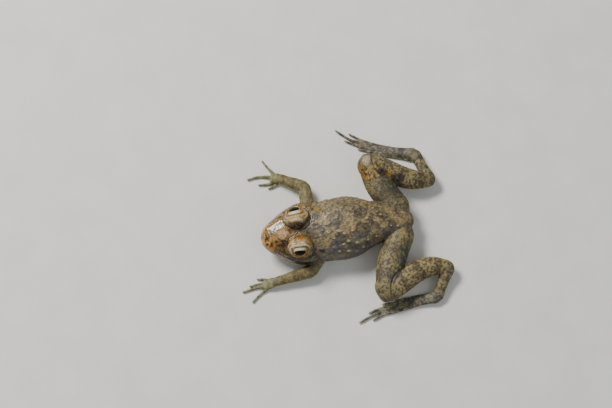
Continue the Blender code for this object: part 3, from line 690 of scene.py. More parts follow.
class Places:
    """What the folds and markings need to know of each point of the skin."""

    def __init__(self, points, normals):
        self.points, self.normals = points, normals
        self.warts = []
        for (x, y), size in WARTS:
            above = points[np.hypot(points[:, 0] - x, points[:, 1] - y) < 0.4]
            self.warts.append((above[above[:, 2].argmax()], size))
        self.uneven = wander(points, 0.8, 195, 0.16)
        self.straight = rolled(points, -1)
        self.x, self.y, self.z = self.straight.T
        self.lines = []
        for kind, line, wide in LINES:
            away, share = along_line(points, line)
            girth = np.interp(share, np.linspace(0, 1, len(wide)), wide)
            self.lines.append((kind, away - girth, share))
        x, wide, level, rise, drop, shift = np.array(BODY_SECTIONS).T
        at = np.clip(self.x, x[0] + 0.01, x[-1] - 0.01)
        self.across = (self.y - np.interp(at, x, shift)) / np.maximum(np.interp(at, x, wide), 1.5)
        height = self.z - np.interp(at, x, level)
        reach = np.maximum(np.where(height > 0, np.interp(at, x, rise), np.interp(at, x, drop)), 1.5)
        outside = np.maximum(x[0] - self.x, 0) + np.maximum(self.x - x[-1], 0)
        self.body_gap = (np.hypot(self.across, height / reach) - 1) * 7 + outside * 2

    def part(self, *kinds):
        """1 on the named kinds of limb, 0 off them, with a soft edge."""
        own = np.full(len(self.points), FAR)
        rest = self.body_gap.copy()
        for kind, gap, _ in self.lines:
            if kind in kinds:
                own = np.minimum(own, gap)
            else:
                rest = np.minimum(rest, gap)
        return 1 / (1 + np.exp(np.clip((own - rest) / PART_EDGE, -40, 40)))

    def along(self, wanted):
        """Share of the way along the nearest limb or digit of a kind."""
        nearest, found = np.full(len(self.points), np.inf), np.zeros(len(self.points))
        for kind, gap, share in self.lines:
            if kind == wanted:
                found = np.where(gap < nearest, share, found)
                nearest = np.minimum(gap, nearest)
        return found

    def from_wart(self, place, shift=(0, 0, 0)):
        """Distance from a wart's middle, which counts for less along the body."""
        return lengths((self.uneven - place + shift) * (0.72, 1.15, 1.0))

    def from_spot(self, place, sign):
        """Distance from a place of the right side, or from its mirror image where sign is -1."""
        return lengths(self.straight - mirrored(place, sign))

    def from_line(self, line, sign):
        """Distance from a line of the right side, or from its mirror image where sign is -1."""
        path = path_through([mirrored(place, sign) for place in line])
        return nearest_spot(self.straight, path(np.linspace(0, 1, 30))[0])

    def lid(self, side, name):
        """Places round an eye, and the distance from the lids' edge, which strays as named."""
        local = eye_local(self.points, side)
        return local, lid_radius(local) + waves(self.points, name)


def nearest_spot(points, spots):
    return np.linalg.norm(points[:, None, :] - spots[None], axis=2).min(axis=1)


def along_line(points, line):
    """Distance of each point to a line of places, and the share of the line at which it is nearest."""
    nearest, share = np.full(len(points), FAR), np.zeros(len(points))
    low, high = line.min(axis=0) - REACH, line.max(axis=0) + REACH
    near = np.nonzero(((points > low) & (points < high)).all(axis=1))[0]
    for index in range(len(line) - 1):
        step = line[index + 1] - line[index]
        here = points[near] - line[index]
        part = np.clip(here @ step / (step @ step), 0, 1)
        away = np.sqrt(np.square(here - part[:, None] * step).sum(axis=1))
        share[near] = np.where(away < nearest[near], (index + part) / (len(line) - 1), share[near])
        nearest[near] = np.minimum(away, nearest[near])
    return nearest, share


def eye_local(points, side):
    """Places round an eye: along the opening, towards the crown, and outward, from the bulge's middle."""
    centre, axes = eye_frame(side)
    local = (points - centre) @ axes.T
    local[:, 1] *= -SIGNS[side]
    return local


def lid_radius(local):
    """1 on the lids' edge, less inside the opening, more outside."""
    lean = local[:, 1] - LID_LEAN * np.square(local[:, 0])
    return np.hypot(local[:, 0] / LID_OPENING[0], lean / LID_OPENING[1])


def lids(points):
    """Opens the skin over each eyeball and lays the lids on it."""
    for side in SIGNS:
        centre, axes = eye_frame(side)
        ball = centre + axes[2] * EYE_PUSH
        local = eye_local(points, side)
        radius = lid_radius(local)
        facing = ease(local[:, 2], 0.6, 1.6)
        away = lengths(points - ball)
        direction = (points - ball) / np.maximum(away, 0.1)[:, None]
        inside = facing * ease(radius, 1.04, 0.94) * (radius < 1.1)
        hug = facing * ease(radius, 1.75, 1.05) * (radius >= 0.9)
        edge = EYE_RADIUS + LID_DEPTH + LID_ROLL * bump(radius - 1.1, 0.1)
        target = away + (edge - away) * hug
        target = target + (EYE_RADIUS - SOCKET_DEPTH - target) * inside
        near = (away < 7) & (facing > 0)
        points[near] = ball + direction[near] * target[near, None]
    return points


def lid_margin(side):
    """The smooth rolled edge of the lids, as a ring that lies on the eyeball."""
    centre, axes = eye_frame(side)
    turn = np.linspace(0, 2 * math.pi, 121)
    along, across = LID_OPENING[0] * np.cos(turn), LID_OPENING[1] * np.sin(turn)
    across = across + LID_LEAN * np.square(along)
    out = np.sqrt((EYE_RADIUS + RIM_LIFT) ** 2 - np.square(along) - np.square(across)) + EYE_PUSH
    spots = np.column_stack([along, -SIGNS[side] * across, out]) @ axes + centre
    headings = np.gradient(spots, axis=0)
    angle = ring_angles(12)
    made = []
    for spot, heading in zip(spots, headings):
        away = unit(spot - centre - axes[2] * EYE_PUSH)
        level = unit(np.cross(heading, away))
        made.append(spot + RIM_RADIUS * (np.outer(np.cos(angle), level) + np.outer(np.sin(angle), away)))
    return loft("lid_margin", made)


def head_relief(at):
    """Mouth, lips, nostrils, brow, eardrums and the folds of the lids, as heights in millimetres."""
    mouth = ease(at.x, MOUTH_END + 0.8, MOUTH_END - 0.4) * ease(np.abs(at.y), 14, 12.5)
    height = mouth * ridges(at.z - mouth_level(at.x), MOUTH_RIDGES)
    below = ease(at.x, -3, -7) * ease(at.z, 14.0, 12.0) * ease(at.z, 7.5, 9.5)
    for side, sign in SIGNS.items():
        height += ridges(at.from_spot(NOSTRIL, sign), NOSTRIL_RIDGES)
        height += ridges(at.from_line(CANTHUS, sign), CANTHUS_RIDGES)
        height += ridges(at.from_line(FOLD, sign), FOLD_RIDGES)
        drum = at.from_spot(TYMPANUM, sign)
        height += ridges(drum, DRUM_RIDGES) - DRUM_HOLLOW * ease(drum, 1.5, 1.0)
        local, radius = at.lid(side, "lid folds")
        facing, crown = ease(local[:, 2], -0.5, 1.5), ease(local[:, 1], -0.6, 0.6)
        height += facing * crown * ridges(radius, UPPER_LID_RIDGES)
        height += facing * (1 - crown) * ridges(radius, LOWER_LID_RIDGES)
        base = lengths((at.points - eye_frame(side)[0]) / EYE_BULGE) + waves(at.points, "bulge folds")
        height += below * ridges(base, BULGE_RIDGES)
    return height


def trunk_relief(at):
    """Warts, grains, ridges and creases of the back, flanks and limbs."""
    points = at.points
    up = ease(at.z, 4.5, 8.0)
    head = ease(at.x, -5, -10) * (at.body_gap < 2)
    limb = at.part("thigh", "shank", "tarsus", "upper_arm", "forearm")
    ends = at.part("palm", "sole", "finger", "toe")
    trunk = np.clip(1 - limb - ends, 0, 1) * (1 - head)
    away, pick = grains(points, 2.3, 5)
    flank = ease(np.abs(at.across), 0.35, 0.7)
    height = trunk * up * (0.12 + 0.10 * flank) * (pick > 0.35) * bump(away, 0.28 + 0.35 * pick)
    height += 0.09 * (trunk * up + 0.3 * head) * dots(points * LENGTHWISE, "back grains")
    height += 0.08 * (limb + 0.4 * head) * dots(points, "limb grains")
    height += waves(points, "skin") * (1 - 0.6 * ends)
    for place, size in at.warts:
        height += trunk * up * 0.3 * bump(at.from_wart(place) / size, 0.8)
    for sign in SIGNS.values():
        ridge = bump(at.from_line(BACK_RIDGE, sign), 0.55)
        height += trunk * 0.16 * ridge * patches(points, "back ridge")
    bent = wander(points, 5, 71, 0.8)
    creases = np.sin(bent[:, 0] * 1.9 + 0.5 * bent[:, 1])
    return height + trunk * ease(np.abs(at.across), 0.55, 0.95) * ease(at.z, 3, 6) * 0.05 * creases


def joint_creases(at):
    """Grooves where the skin folds at knees, elbows, heels and wrists."""
    height = np.zeros(len(at.points))
    for kind, shares in JOINT_CREASES:
        own, share = at.part(kind), at.along(kind) + waves(at.points, "joints")
        for place in shares:
            height -= own * CREASE_DEPTH * bump(share - place, CREASE_WIDTH)
    for side, floor in KNEE_FLOOR.items():
        path = path_through([(x, y, 0) for x, y in KNEE_CREASE[side]])
        gap = nearest_spot(at.points[:, :2], path(np.linspace(0.12, 0.86, 50))[0][:, :2])
        height -= KNEE_FOLD_DEPTH * bump(gap, KNEE_FOLD_WIDTH) * ease(at.points[:, 2], floor, floor + 1)
    return height


# Markings, in the finished pose. Large warts of the back and flanks: place from above, and radius.
WARTS = (
    ((0.8, 1.9), 0.55), ((1.4, -3.5), 0.6), ((3.1, -4.6), 0.55), ((4.3, -7.3), 0.7), ((7.6, -8.0), 0.75),
    ((2.2, -8.2), 0.5), ((11.4, -7.4), 0.6), ((4.3, -10.2), 0.7), ((-2.8, 0.3), 0.45), ((-5.8, -3.7), 0.5),
    ((-2.7, -3.2), 0.55), ((12.1, 0.1), 0.5), ((6.2, -4.0), 0.5), ((-0.6, -5.8), 0.5), ((17.4, 1.4), 0.45),
    ((22.8, -3.5), 0.5), ((9.6, -9.3), 0.6), ((20.6, -3.2), 0.4), ((-6.6, 1.3), 0.4), ((14.6, -6.2), 0.45),
    ((0.6, -9.9), 0.5), ((7.0, -10.4), 0.5), ((6.8, 4.6), 0.45), ((15.0, 4.2), 0.4), ((-1.2, 6.0), 0.45),
)
# Round dark blotches of the back: place from above, half length, half width.
BLOTCHES = (
    ((0.9, 1.8), 2.7, 2.6), ((9.9, 2.7), 2.5, 2.1), ((9.8, -3.7), 2.8, 2.6), ((4.9, 7.6), 3.2, 1.6),
    ((17.6, 1.2), 1.7, 1.6), ((2.4, -5.6), 2.2, 1.7), ((20.6, -2.4), 1.6, 1.3),
    ((-6.8, -1.4), 3.0, 2.9), ((14.4, -2.4), 1.5, 1.3), ((-5.6, 4.2), 1.6, 1.3),
)
# Marks of the head and the right leg: place, reach, colour in screen values, strength. A few are painted
# shade and painted highlights, noted at each.
MARKS = (
    ((-18.9, -4.6, 10.2), (1.4, 1.0, 2.0), (46, 26, 10), 0.85),
    ((-16.2, -4.3, 11.5), (1.0, 1.2, 2.0), (112, 82, 44), 0.5),
    ((-18.3, -0.6, 11.0), (2.6, 1.8, 2.5), (198, 164, 134), 0.7),
    # Painted highlight: the near-white mark on the right of the snout.
    ((-18.4, 2.4, 10.6), (1.6, 1.0, 2.0), (226, 206, 178), 0.5),
    ((-21.9, -1.6, 9.6), (2.0, 1.3, 2.5), (186, 150, 106), 0.6),
    ((-24.9, -0.6, 8.0), (1.0, 3.0, 1.6), (196, 146, 62), 0.65),
    ((-22.6, -4.3, 8.2), (1.8, 1.3, 1.4), (180, 126, 36), 0.75),
    ((-20.4, -5.0, 8.4), (1.5, 0.9, 1.3), (166, 108, 32), 0.7),
    ((-21.7, -5.9, 7.0), (1.1, 1.0, 1.1), (52, 28, 8), 0.85),
    ((-18.1, -7.2, 7.0), (1.6, 1.0, 1.3), (44, 26, 8), 0.85),
    ((-15.0, -9.4, 6.8), (3.4, 2.2, 2.4), (40, 33, 11), 0.85),
    ((-11.6, -10.8, 6.6), (3.6, 1.8, 2.8), (36, 32, 12), 0.9),
    ((-19.8, 5.0, 10.2), (2.0, 0.8, 1.4), (98, 66, 28), 0.65),
    ((-21.6, 2.9, 9.8), (0.8, 0.7, 1.2), (84, 54, 22), 0.7),
    # Painted shade: the near-black mark between the eye bulges.
    ((-13.6, 0.8, 14.0), (4.2, 2.0, 2.7), (32, 20, 10), 1.0),
    ((-13.4, 1.5, 15.8), (1.9, 0.5, 1.2), (56, 54, 30), 0.8),
    ((-13.5, 2.7, 16.5), (2.4, 0.5, 1.2), (214, 190, 148), 0.8),
    ((-12.8, -3.7, 15.2), (2.3, 1.0, 1.4), (150, 92, 42), 0.8),
    ((-9.8, -4.2, 13.9), (1.7, 1.1, 1.3), (142, 98, 46), 0.75),
    ((-5.5, -8.5, 11.1), (1.3, 0.8, 1.5), (26, 24, 16), 0.95),
    ((-12.3, -5.7, 16.3), (2.6, 0.5, 1.2), (212, 190, 150), 0.85),
    ((-15.6, -5.8, 14.4), (0.7, 1.9, 1.6), (206, 180, 132), 0.75),
    ((-9.0, -6.0, 13.8), (1.0, 2.0, 1.8), (112, 86, 48), 0.6),
    ((-6.0, -8.2, 9.4), (1.8, 1.3, 2.0), (46, 42, 40), 0.6),
    ((-7.4, -6.2, 11.8), (1.9, 2.0, 2.5), (54, 50, 44), 0.55),
    # Painted shade: the broad dark mark over the right thigh and the rear of the trunk beside it.
    ((21.0, 10.0, 8.0), (6.0, 8.0, 8.0), (52, 50, 42), 0.5),
    # Painted highlight: the pale mark on top of the right knee.
    ((15.0, 23.0, 11.6), (1.6, 2.6, 1.8), (190, 180, 156), 0.55),
    ((19.9, 17.5, 10.8), (2.0, 1.6, 2.2), (22, 14, 8), 1.0),
    ((25.4, 15.4, 9.0), (2.8, 1.7, 2.4), (28, 22, 18), 1.0),
)
# Where gold runs broken over dark brown: places along its line, reach to each side, strength.
GOLDEN = (
    (((-15.8, 8.4, 10.8), (-12.4, 10.2, 10.0), (-9.8, 9.4, 11.2), (-7.6, 8.6, 11.4)), 1.0, 0.85),
    (((-7.8, 8.0, 11.8), (-4.4, 6.4, 12.7), (-1.6, 3.2, 14.0)), 0.75, 0.95),
    (((-16.6, 4.6, 13.6), (-16.2, 7.2, 12.4)), 0.9, 0.8),
    (((-8.4, 7.0, 12.8), (-8.6, 4.0, 14.2)), 0.9, 0.85),
    (((12.6, 19.4, 10.2), (14.4, 17.6, 11.0), (16.4, 16.4, 11.4)), 2.3, 0.92),
    (((18.0, 20.4, 11.6), (19.0, 18.8, 11.3)), 0.8, 0.9),
    (((21.4, 17.2, 10.2), (23.4, 15.8, 9.4)), 1.5, 0.95),
)
# Crossbars: kind of limb, bars in its length, colour in screen values, strength.
BANDS = (
    ("thigh", 2.6, (64, 58, 54), 0.6),
    ("shank", 3.6, (52, 46, 38), 0.75),
    ("tarsus", 2.6, (54, 50, 42), 0.7),
    ("upper_arm", 1.6, (88, 80, 54), 0.5),
    ("forearm", 2.4, (78, 62, 38), 0.65),
    ("palm", 1.6, (92, 86, 58), 0.5),
    ("sole", 2.2, (48, 50, 54), 0.75),
    ("toe", 5.5, (50, 52, 58), 0.75),
    ("finger", 3.0, (88, 84, 62), 0.6),
)
# Limb colours in screen values: light patches and dark ground.
LIMB_TONES = {
    "upper_arm": ((143, 136, 104), (108, 101, 73)),
    "forearm": ((131, 121, 87), (90, 78, 52)),
    "thigh": ((132, 121, 88), (60, 57, 52)),
    "shank": ((142, 129, 94), (64, 58, 48)),
    "tarsus": ((132, 121, 88), (57, 54, 47)),
    "palm": ((142, 141, 106), (104, 102, 76)),
    "finger": ((142, 140, 108), (104, 102, 78)),
    "sole": ((122, 115, 96), (60, 61, 62)),
    "toe": ((136, 129, 106), (78, 78, 74)),
}


# Patches of smooth noise: size in millimetres, seed, octaves, and the values at which a patch
# starts and is full.
PATCHES = {
    "back ridge": (2.4, 61, 1, 0.3, 0.6),
    "back flecks": (0.48, 101, 2, 0.43, 0.58),
    "back": (2.4, 111, 3, 0.36, 0.64),
    "limb ground": (0.55, 121, 3, 0.46, 0.58),
    "flank": (1.6, 125, 2, 0.35, 0.65),
    "crossbars": (0.8, 151, 2, 0.3, 0.55),
    "snout gold": (1.2, 171, 3, 0.46, 0.66),
    "snout dark": (0.8, 173, 3, 0.46, 0.58),
    "snout pale": (0.55, 181, 3, 0.58, 0.74),
    "cheek streaks": (0.8, 185, 2, 0.45, 0.62),
    "lip bars": (1.2, 188, 1, 0.35, 0.6),
    "lids": (0.9, 201, 2, 0.4, 0.6),
    "gold": (0.55, 231, 3, 0.45, 0.60),
    "pale gold": (0.6, 241, 2, 0.60, 0.74),
    "marks": (0.6, 251, 2, 0.32, 0.56),
}
# Waves in borders and in the skin's height: size, seed, octaves, and how far apart their extremes are.
WAVES = {
    "skin": (0.8, 31, 2, 0.08),
    "lid folds": (1.4, 40, 1, 0.06),
    "lid colours": (1.4, 40, 1, 0.05),
    "bulge folds": (1.6, 45, 2, 0.14),
    "joints": (1.5, 80, 1, 0.02),
    "nape": (2.0, 99, 1, 0.9),
    "blotches": (1.1, 118, 1, 0.35),
    "flank": (2.6, 123, 3, 0.9),
    "crossbars": (1.8, 141, 2, 0.384),
}
# Scattered dots: spacing, seed, share of the places that stay bare, reach of one.
DOTS = {
    "back grains": (0.95, 105, 0.45, 0.28),
    "pale grains": (0.95, 105, 0.45, 0.24),
    "limb grains": (0.9, 127, 0.4, 0.26),
    "limb flecks": (0.9, 127, 0.5, 0.25),
    "flank streaks": (1.2, 129, 0.4, 0.28),
    "thigh spots": (1.5, 161, 0.3, 0.45),
}
# Dark rings of the upper lids, painted shade under the lid's edge and in the two grooves of the lid:
# strength, lid radius, width.
LID_SHADE_RINGS = ((1.0, 1.07, 0.07), (0.8, 1.38, 0.03), (0.6, 1.58, 0.03))
WART_SHADOW = (0.35, 0.45, 0.2)  # how far from a wart's middle its shadow lies


def trunk_colour(at):
    """Tan skin closely flecked with dark, with round blotches, a paler right edge and a dark left flank that
    is partly its own bluish colour and partly painted shade.
    """
    points = at.points
    long = points * LENGTHWISE
    flecks, patchy = patches(long, "back flecks"), patches(points, "back")
    colour = mix((137, 122, 91), (111, 101, 78), patchy)
    colour = mix(colour, (56, 48, 44), flecks * (0.6 + 0.3 * patchy))
    colour = mix(colour, (176, 156, 122), 0.75 * dots(long, "pale grains"))
    bent, ragged = wander(points, 1.5, 115, 0.35), waves(points, "blotches")
    for (x, y), half_length, half_width in BLOTCHES:
        gap = np.hypot((bent[:, 0] - x) / half_length, (bent[:, 1] - y) / half_width) + ragged
        colour = mix(colour, colour * 0.42, 0.75 * ease(gap, 1.08, 0.9))
        colour = mix(colour, (46, 40, 40), 0.6 * bump(gap - 0.9, 0.14))
    edge = mix((128, 115, 88), (62, 54, 42), flecks * 0.85)
    colour = mix(colour, edge, ease(at.across, 0.3, 0.72) * 0.7)
    # Painted shade: the left flank is darkened beyond its own bluish colour and pale streaks, as the side
    # turned from the light.
    low = ease(waves(points, "flank") - at.across, 0.4, 0.85)
    shaded_flank = mix((84, 82, 84), (52, 52, 60), patches(points, "flank"))
    shaded_flank = mix(shaded_flank, (132, 124, 104), 0.8 * dots(points * (0.55, 1.0, 0.8), "flank streaks"))
    return mix(colour, shaded_flank, low * (0.6 + 0.25 * patchy))


def limb_colour(at, colour, limbs):
    """Khaki patches on a dark ground, crossbars, and the yellow-spotted rear of the thighs."""
    points = at.points
    patchy = 1 - 0.9 * patches(points, "limb ground") + 0.5 * dots(points, "limb flecks")
    for kind, (light, dark) in LIMB_TONES.items():
        colour = mix(colour, mix(dark, light, patchy), at.part(kind) * limbs)
    top = ease(at.normals[:, 2], -0.3, 0.3)
    broken, stray = 0.35 + 0.65 * patches(points, "crossbars"), waves(points, "crossbars")
    for kind, count, shade, strength in BANDS:
        share = at.along(kind) + stray / count
        band = ease(np.cos(share * count * 2 * math.pi), 0.1, 0.7)
        colour = mix(colour, shade, at.part(kind) * band * strength * top * broken)
    rear = at.part("thigh") * ease(at.along("thigh"), 0.1, 0.3) * ease(at.normals[:, 0], 0.0, 0.5)
    colour = mix(colour, (48, 50, 52), rear * 0.8)
    return mix(colour, (152, 150, 92), rear * dots(points, "thigh spots"))


def head_colour(at, colour, head):
    """A brown snout with gold, dark and pale patches, a dark left cheek that is partly painted shade, and
    pale bars along the lip.
    """
    points = at.points
    left = ease(points[:, 1], 1.0, -4.0)
    mottled = 0.6 * noise(points, 2.6, 165, 3) + 0.4 * noise(points, 0.7, 168, 3)
    snout = mix((162, 130, 84), (112, 82, 42), mottled)
    snout = mix(snout, (104, 78, 34), left * 0.75)
    snout = mix(snout, (88, 70, 44), ease(at.x, -15, -9) * 0.75)
    snout = mix(snout, (152, 118, 54), (0.3 + 0.4 * left) * patches(points, "snout gold"))
    snout = mix(snout, (34, 21, 9), (0.8 + 0.15 * left) * patches(points, "snout dark", 0.05 * left))
    snout = mix(snout, (216, 196, 160), (0.7 - 0.3 * left) * patches(points, "snout pale"))
    colour = mix(colour, snout * 0.84, head * (1 - 0.8 * ease(at.x, -14.5, -10.5)))
    # The left cheek's dark olive streaks are its own pattern, made darker still as painted shade.
    cheek = head * ease(points[:, 1], -5.0, -8.0) * ease(at.z, 12.5, 9.5) * ease(at.x, -20, -16)
    shaded_cheek_streaks = mix((26, 22, 10), (92, 78, 36), patches(points * (0.45, 1, 1.6), "cheek streaks"))
    colour = mix(colour, shaded_cheek_streaks, cheek * 0.95)
    lip = at.z - mouth_level(at.x)
    bars = patches(points * (1, 1, 0.3), "lip bars")
    colour = mix(colour, (204, 172, 112), head * bump(lip - 0.85, 0.5) * 0.65 * bars)
    return mix(colour, (34, 20, 8), head * bump(lip, 0.26) * 0.85)


def eye_surround(at, colour, head):
    """Banded lids, ringed nostrils, eardrums and the dark line under the fold behind each eye."""
    patchy = patches(at.points, "lids")
    for side, sign in SIGNS.items():
        local, radius = at.lid(side, "lid colours")
        facing, crown = ease(local[:, 2], 0, 1.5), ease(local[:, 1], -0.5, 0.8)
        lid = mix((104, 80, 50), (204, 182, 146), patchy * 0.7 + 0.3 * crown)
        colour = mix(colour, lid, facing * ease(radius, 2.0, 1.5) * (0.3 + 0.5 * crown))
        colour = mix(colour, (208, 196, 160), facing * crown * 0.5 * bump(radius - 1.24, 0.08))
        # Painted shade: dark rings under the lid's edge and in the upper lid's grooves.
        rings = np.minimum(ridges(radius, LID_SHADE_RINGS), 0.9)
        colour = mix(colour, (40, 28, 16), facing * crown * rings)
        golden = np.maximum(1 - crown, 0.8 * (sign > 0)) * (0.6 + 0.4 * patchy)
        colour = mix(colour, (158, 122, 54), facing * golden * 0.9 * bump(radius - 1.14, 0.13))
        colour = mix(colour, (14, 10, 6), facing * ease(radius, 0.97, 0.9))
        nostril = at.from_spot(NOSTRIL, sign)
        colour = mix(colour, (190, 140, 66), 0.6 * bump(nostril - 0.9, 0.3) * patchy)
        colour = mix(colour, (14, 8, 4), ease(nostril, 0.62, 0.3))
        drum = at.from_spot(TYMPANUM, sign)
        colour = mix(colour, mix((46, 36, 22), (82, 64, 40), patchy), 0.7 * ease(drum, 1.95, 1.6))
        colour = mix(colour, (52, 34, 18), 0.7 * bump(drum - TYMPANUM_RADIUS, 0.2))
        colour = mix(colour, (104, 82, 54), 0.4 * bump(drum, 0.6))
        fold = at.from_line(FOLD, sign)
        colour = mix(colour, (52, 36, 20), 0.65 * bump(fold - 1.0, 0.5) * head)
    return colour


def gilded(points, colour):
    """Gold and pale flecks broken over dark brown, along the lines of GOLDEN."""
    bent = wander(points, 1.1, 191, 0.45)
    gold = mix((30, 20, 10), (134, 103, 46), patches(points, "gold"))
    gold = mix(gold, (184, 158, 104), 0.65 * patches(points, "pale gold"))
    for line, reach, strength in GOLDEN:
        away, _ = along_line(bent, np.array(line))
        colour = mix(colour, gold, strength * ease(away / reach, 1.2, 0.65))
    return colour


def marked(points, colour):
    """The single marks of MARKS, with broken edges; a few of them are painted shade and painted highlights.
    """
    bent = wander(points, 1.1, 191, 0.3)
    broken = 0.45 + 0.55 * patches(points, "marks")
    for place, reach, shade, strength in MARKS:
        gap = lengths((bent - place) / reach)
        colour = mix(colour, shade, strength * broken * ease(gap, 1.2, 0.6))
    return colour


def tip_warts(at, colour, trunk):
    """Pale tips on the warts, each with a shadow at one side."""
    for place, size in at.warts:
        shadow = bump(at.from_wart(place, WART_SHADOW) / size, 1.1)
        colour = mix(colour, (38, 36, 40), 0.6 * trunk * shadow)
        pale = mix((184, 158, 130), (176, 164, 118), ease(-place[1], 2.5, 7.0))
        colour = mix(colour, pale, 0.85 * trunk * bump(at.from_wart(place) / size, 0.7))
    return colour


def paint(at):
    """The skin's colour and how wet it looks, for each point."""
    points = at.points
    head = ease(at.x + waves(points, "nape"), -7.0, -9.6) * ease(at.body_gap, 4.5, 2.5)
    head = head * (1 - at.part("upper_arm", "forearm"))
    limbs = at.part(*LIMB_TONES)
    colour = head_colour(at, limb_colour(at, trunk_colour(at), limbs), head)
    deeper = limbs * (0.4 + 0.6 * ease(points[:, 1], 0, 8)) + 0.5 * ease(at.x, -3, -8)
    colour = eye_surround(at, colour * (1 - 0.2 * np.minimum(deeper, 1))[:, None], head)
    colour = marked(points, gilded(points, colour))
    colour = tip_warts(at, colour, (1 - limbs) * (1 - head) * ease(at.z, 4, 7))
    belly = ease(at.z, 5.0, 3.0) * ease(at.normals[:, 2], 0.0, -0.55)
    cream = mix((228, 224, 206), (196, 188, 156), noise(points, 2.4, 211, 3))
    colour = mix(colour, cream, belly * (1 - 0.35 * limbs))
    colour = colour * (0.68 + 0.28 * noise(points, 0.35, 221, 2))[:, None]
    grey = colour.mean(axis=1)[:, None]
    colour = np.clip(grey + (colour - grey) * RICHNESS, 0, 1)
    return colour, 0.15 * (1 - limbs) + 0.65 * head


def lay_attribute(mesh, name, values):
    """Stores a value or a colour for each vertex."""
    if values.ndim == 1:
        made = mesh.attributes.new(name, "FLOAT", "POINT")
        made.data.foreach_set("value", values.astype(np.float32))
    else:
        made = mesh.color_attributes.new(name, "FLOAT_COLOR", "POINT")
        full = np.column_stack([np.clip(values, 0, 1), np.ones(len(values))])
        made.data.foreach_set("color", full.astype(np.float32).ravel())


BLACK, WHITE = (0, 0, 0), (1, 1, 1)


def opaque(*screen):
    """A tone with an alpha of 1, as a colour input takes it."""
    return (*tone(*screen), 1)


class Nodes:
    """Short ways to build a material's nodes."""

    def __init__(self, name):
        self.material = bpy.data.materials.new(name)
        self.material.use_nodes = True
        self.tree = self.material.node_tree
        self.shader = self.tree.nodes["Principled BSDF"]
        self.place = self.add("ShaderNodeTexCoord").outputs["Object"]

    def add(self, kind, inputs=None, **settings):
        node = self.tree.nodes.new(kind)
        for key, value in settings.items():
            setattr(node, key, value)
        for key, value in (inputs or {}).items():
            self.put(node, key, value)
        return node

    def put(self, node, key, value):
        if isinstance(value, bpy.types.NodeSocket):
            self.tree.links.new(value, node.inputs[key])
        else:
            node.inputs[key].default_value = value

    def math(self, operation, *values):
        node = self.add("ShaderNodeMath", dict(enumerate(values)), operation=operation)
        return node.outputs[0]

    def scaled(self, value, factor):
        return self.math("MULTIPLY", value, factor)

    def radius(self, x, y):
        flat = self.add("ShaderNodeCombineXYZ", {"X": x, "Y": y}).outputs[0]
        return self.add("ShaderNodeVectorMath", {0: flat}, operation="LENGTH").outputs["Value"]

    def blend(self, share, first, second, how="MIX"):
        """The second colour over the first. For colours, the node has inputs 6 and 7 and output 2."""
        inputs = {0: share, 6: first, 7: second}
        return self.add("ShaderNodeMix", inputs, data_type="RGBA", blend_type=how).outputs[2]

    def ramp(self, value, stops):
        node = self.add("ShaderNodeValToRGB", {"Fac": value})
        elements = node.color_ramp.elements
        for place, colour in stops[1:-1]:
            elements.new(place).color = (*colour, 1)
        for element, (place, colour) in ((elements[0], stops[0]), (elements[len(stops) - 1], stops[-1])):
            element.position = place
            element.color = (*colour, 1)
        return node.outputs["Color"]

    def step(self, value, start, end):
        """0 up to start, and 1 from end on."""
        return self.ramp(value, ((start, BLACK), (end, WHITE)))

    def noise(self, scale, detail=4.0, roughness=0.55):
        inputs = {"Vector": self.place, "Scale": scale, "Detail": detail, "Roughness": roughness}
        return self.add("ShaderNodeTexNoise", inputs).outputs["Fac"]

    def raised(self, height, distance, **inputs):
        inputs.update(Strength=0.3, Distance=distance, Height=height)
        return self.add("ShaderNodeBump", inputs).outputs[0]

    def painted(self, name, output):
        return self.add("ShaderNodeAttribute", attribute_name=name).outputs[output]

    def surface(self, **inputs):
        for key, value in inputs.items():
            self.put(self.shader, key.replace("_", " "), value)


def skin_material():
    """The skin: its painted colour under fine grain, small glands, and a wet film that comes and goes."""
    nodes = Nodes("frog_skin")
    wet = nodes.painted("wet", "Fac")
    grain = nodes.noise(2600, 5)
    mottle = nodes.noise(850, 4)
    cells = {"Vector": nodes.place, "Scale": 2000.0, "Smoothness": 1.0}
    glands = nodes.add("ShaderNodeTexVoronoi", cells, feature="SMOOTH_F1")
    domes = nodes.math("SUBTRACT", 1.0, glands.outputs["Distance"])
    speckle = nodes.ramp(grain, ((0.3, (0.35, 0.33, 0.3)), (0.7, WHITE)))
    colour = nodes.blend(0.35, nodes.painted("paint", "Color"), speckle, "OVERLAY")
    spots = nodes.scaled(nodes.step(mottle, 0.5, 0.62), 0.16)
    colour = nodes.blend(spots, colour, (0.05, 0.035, 0.02, 1))
    damp = nodes.math("SUBTRACT", 0.66, nodes.scaled(wet, 0.5))
    roughness = nodes.math("ADD", damp, nodes.scaled(nodes.math("SUBTRACT", mottle, 0.5), 0.3))
    coarse = nodes.raised(domes, 0.0001)
    fine = nodes.raised(grain, 0.00008, Normal=coarse)
    nodes.surface(Base_Color=colour, Roughness=roughness, Normal=fine)
    nodes.surface(Coat_Weight=nodes.scaled(wet, 0.6), Coat_Roughness=0.12, Coat_Normal=coarse)
    nodes.surface(Subsurface_Weight=0.06, Subsurface_Radius=(1.0, 0.5, 0.25), Subsurface_Scale=0.0006)
    return nodes.material


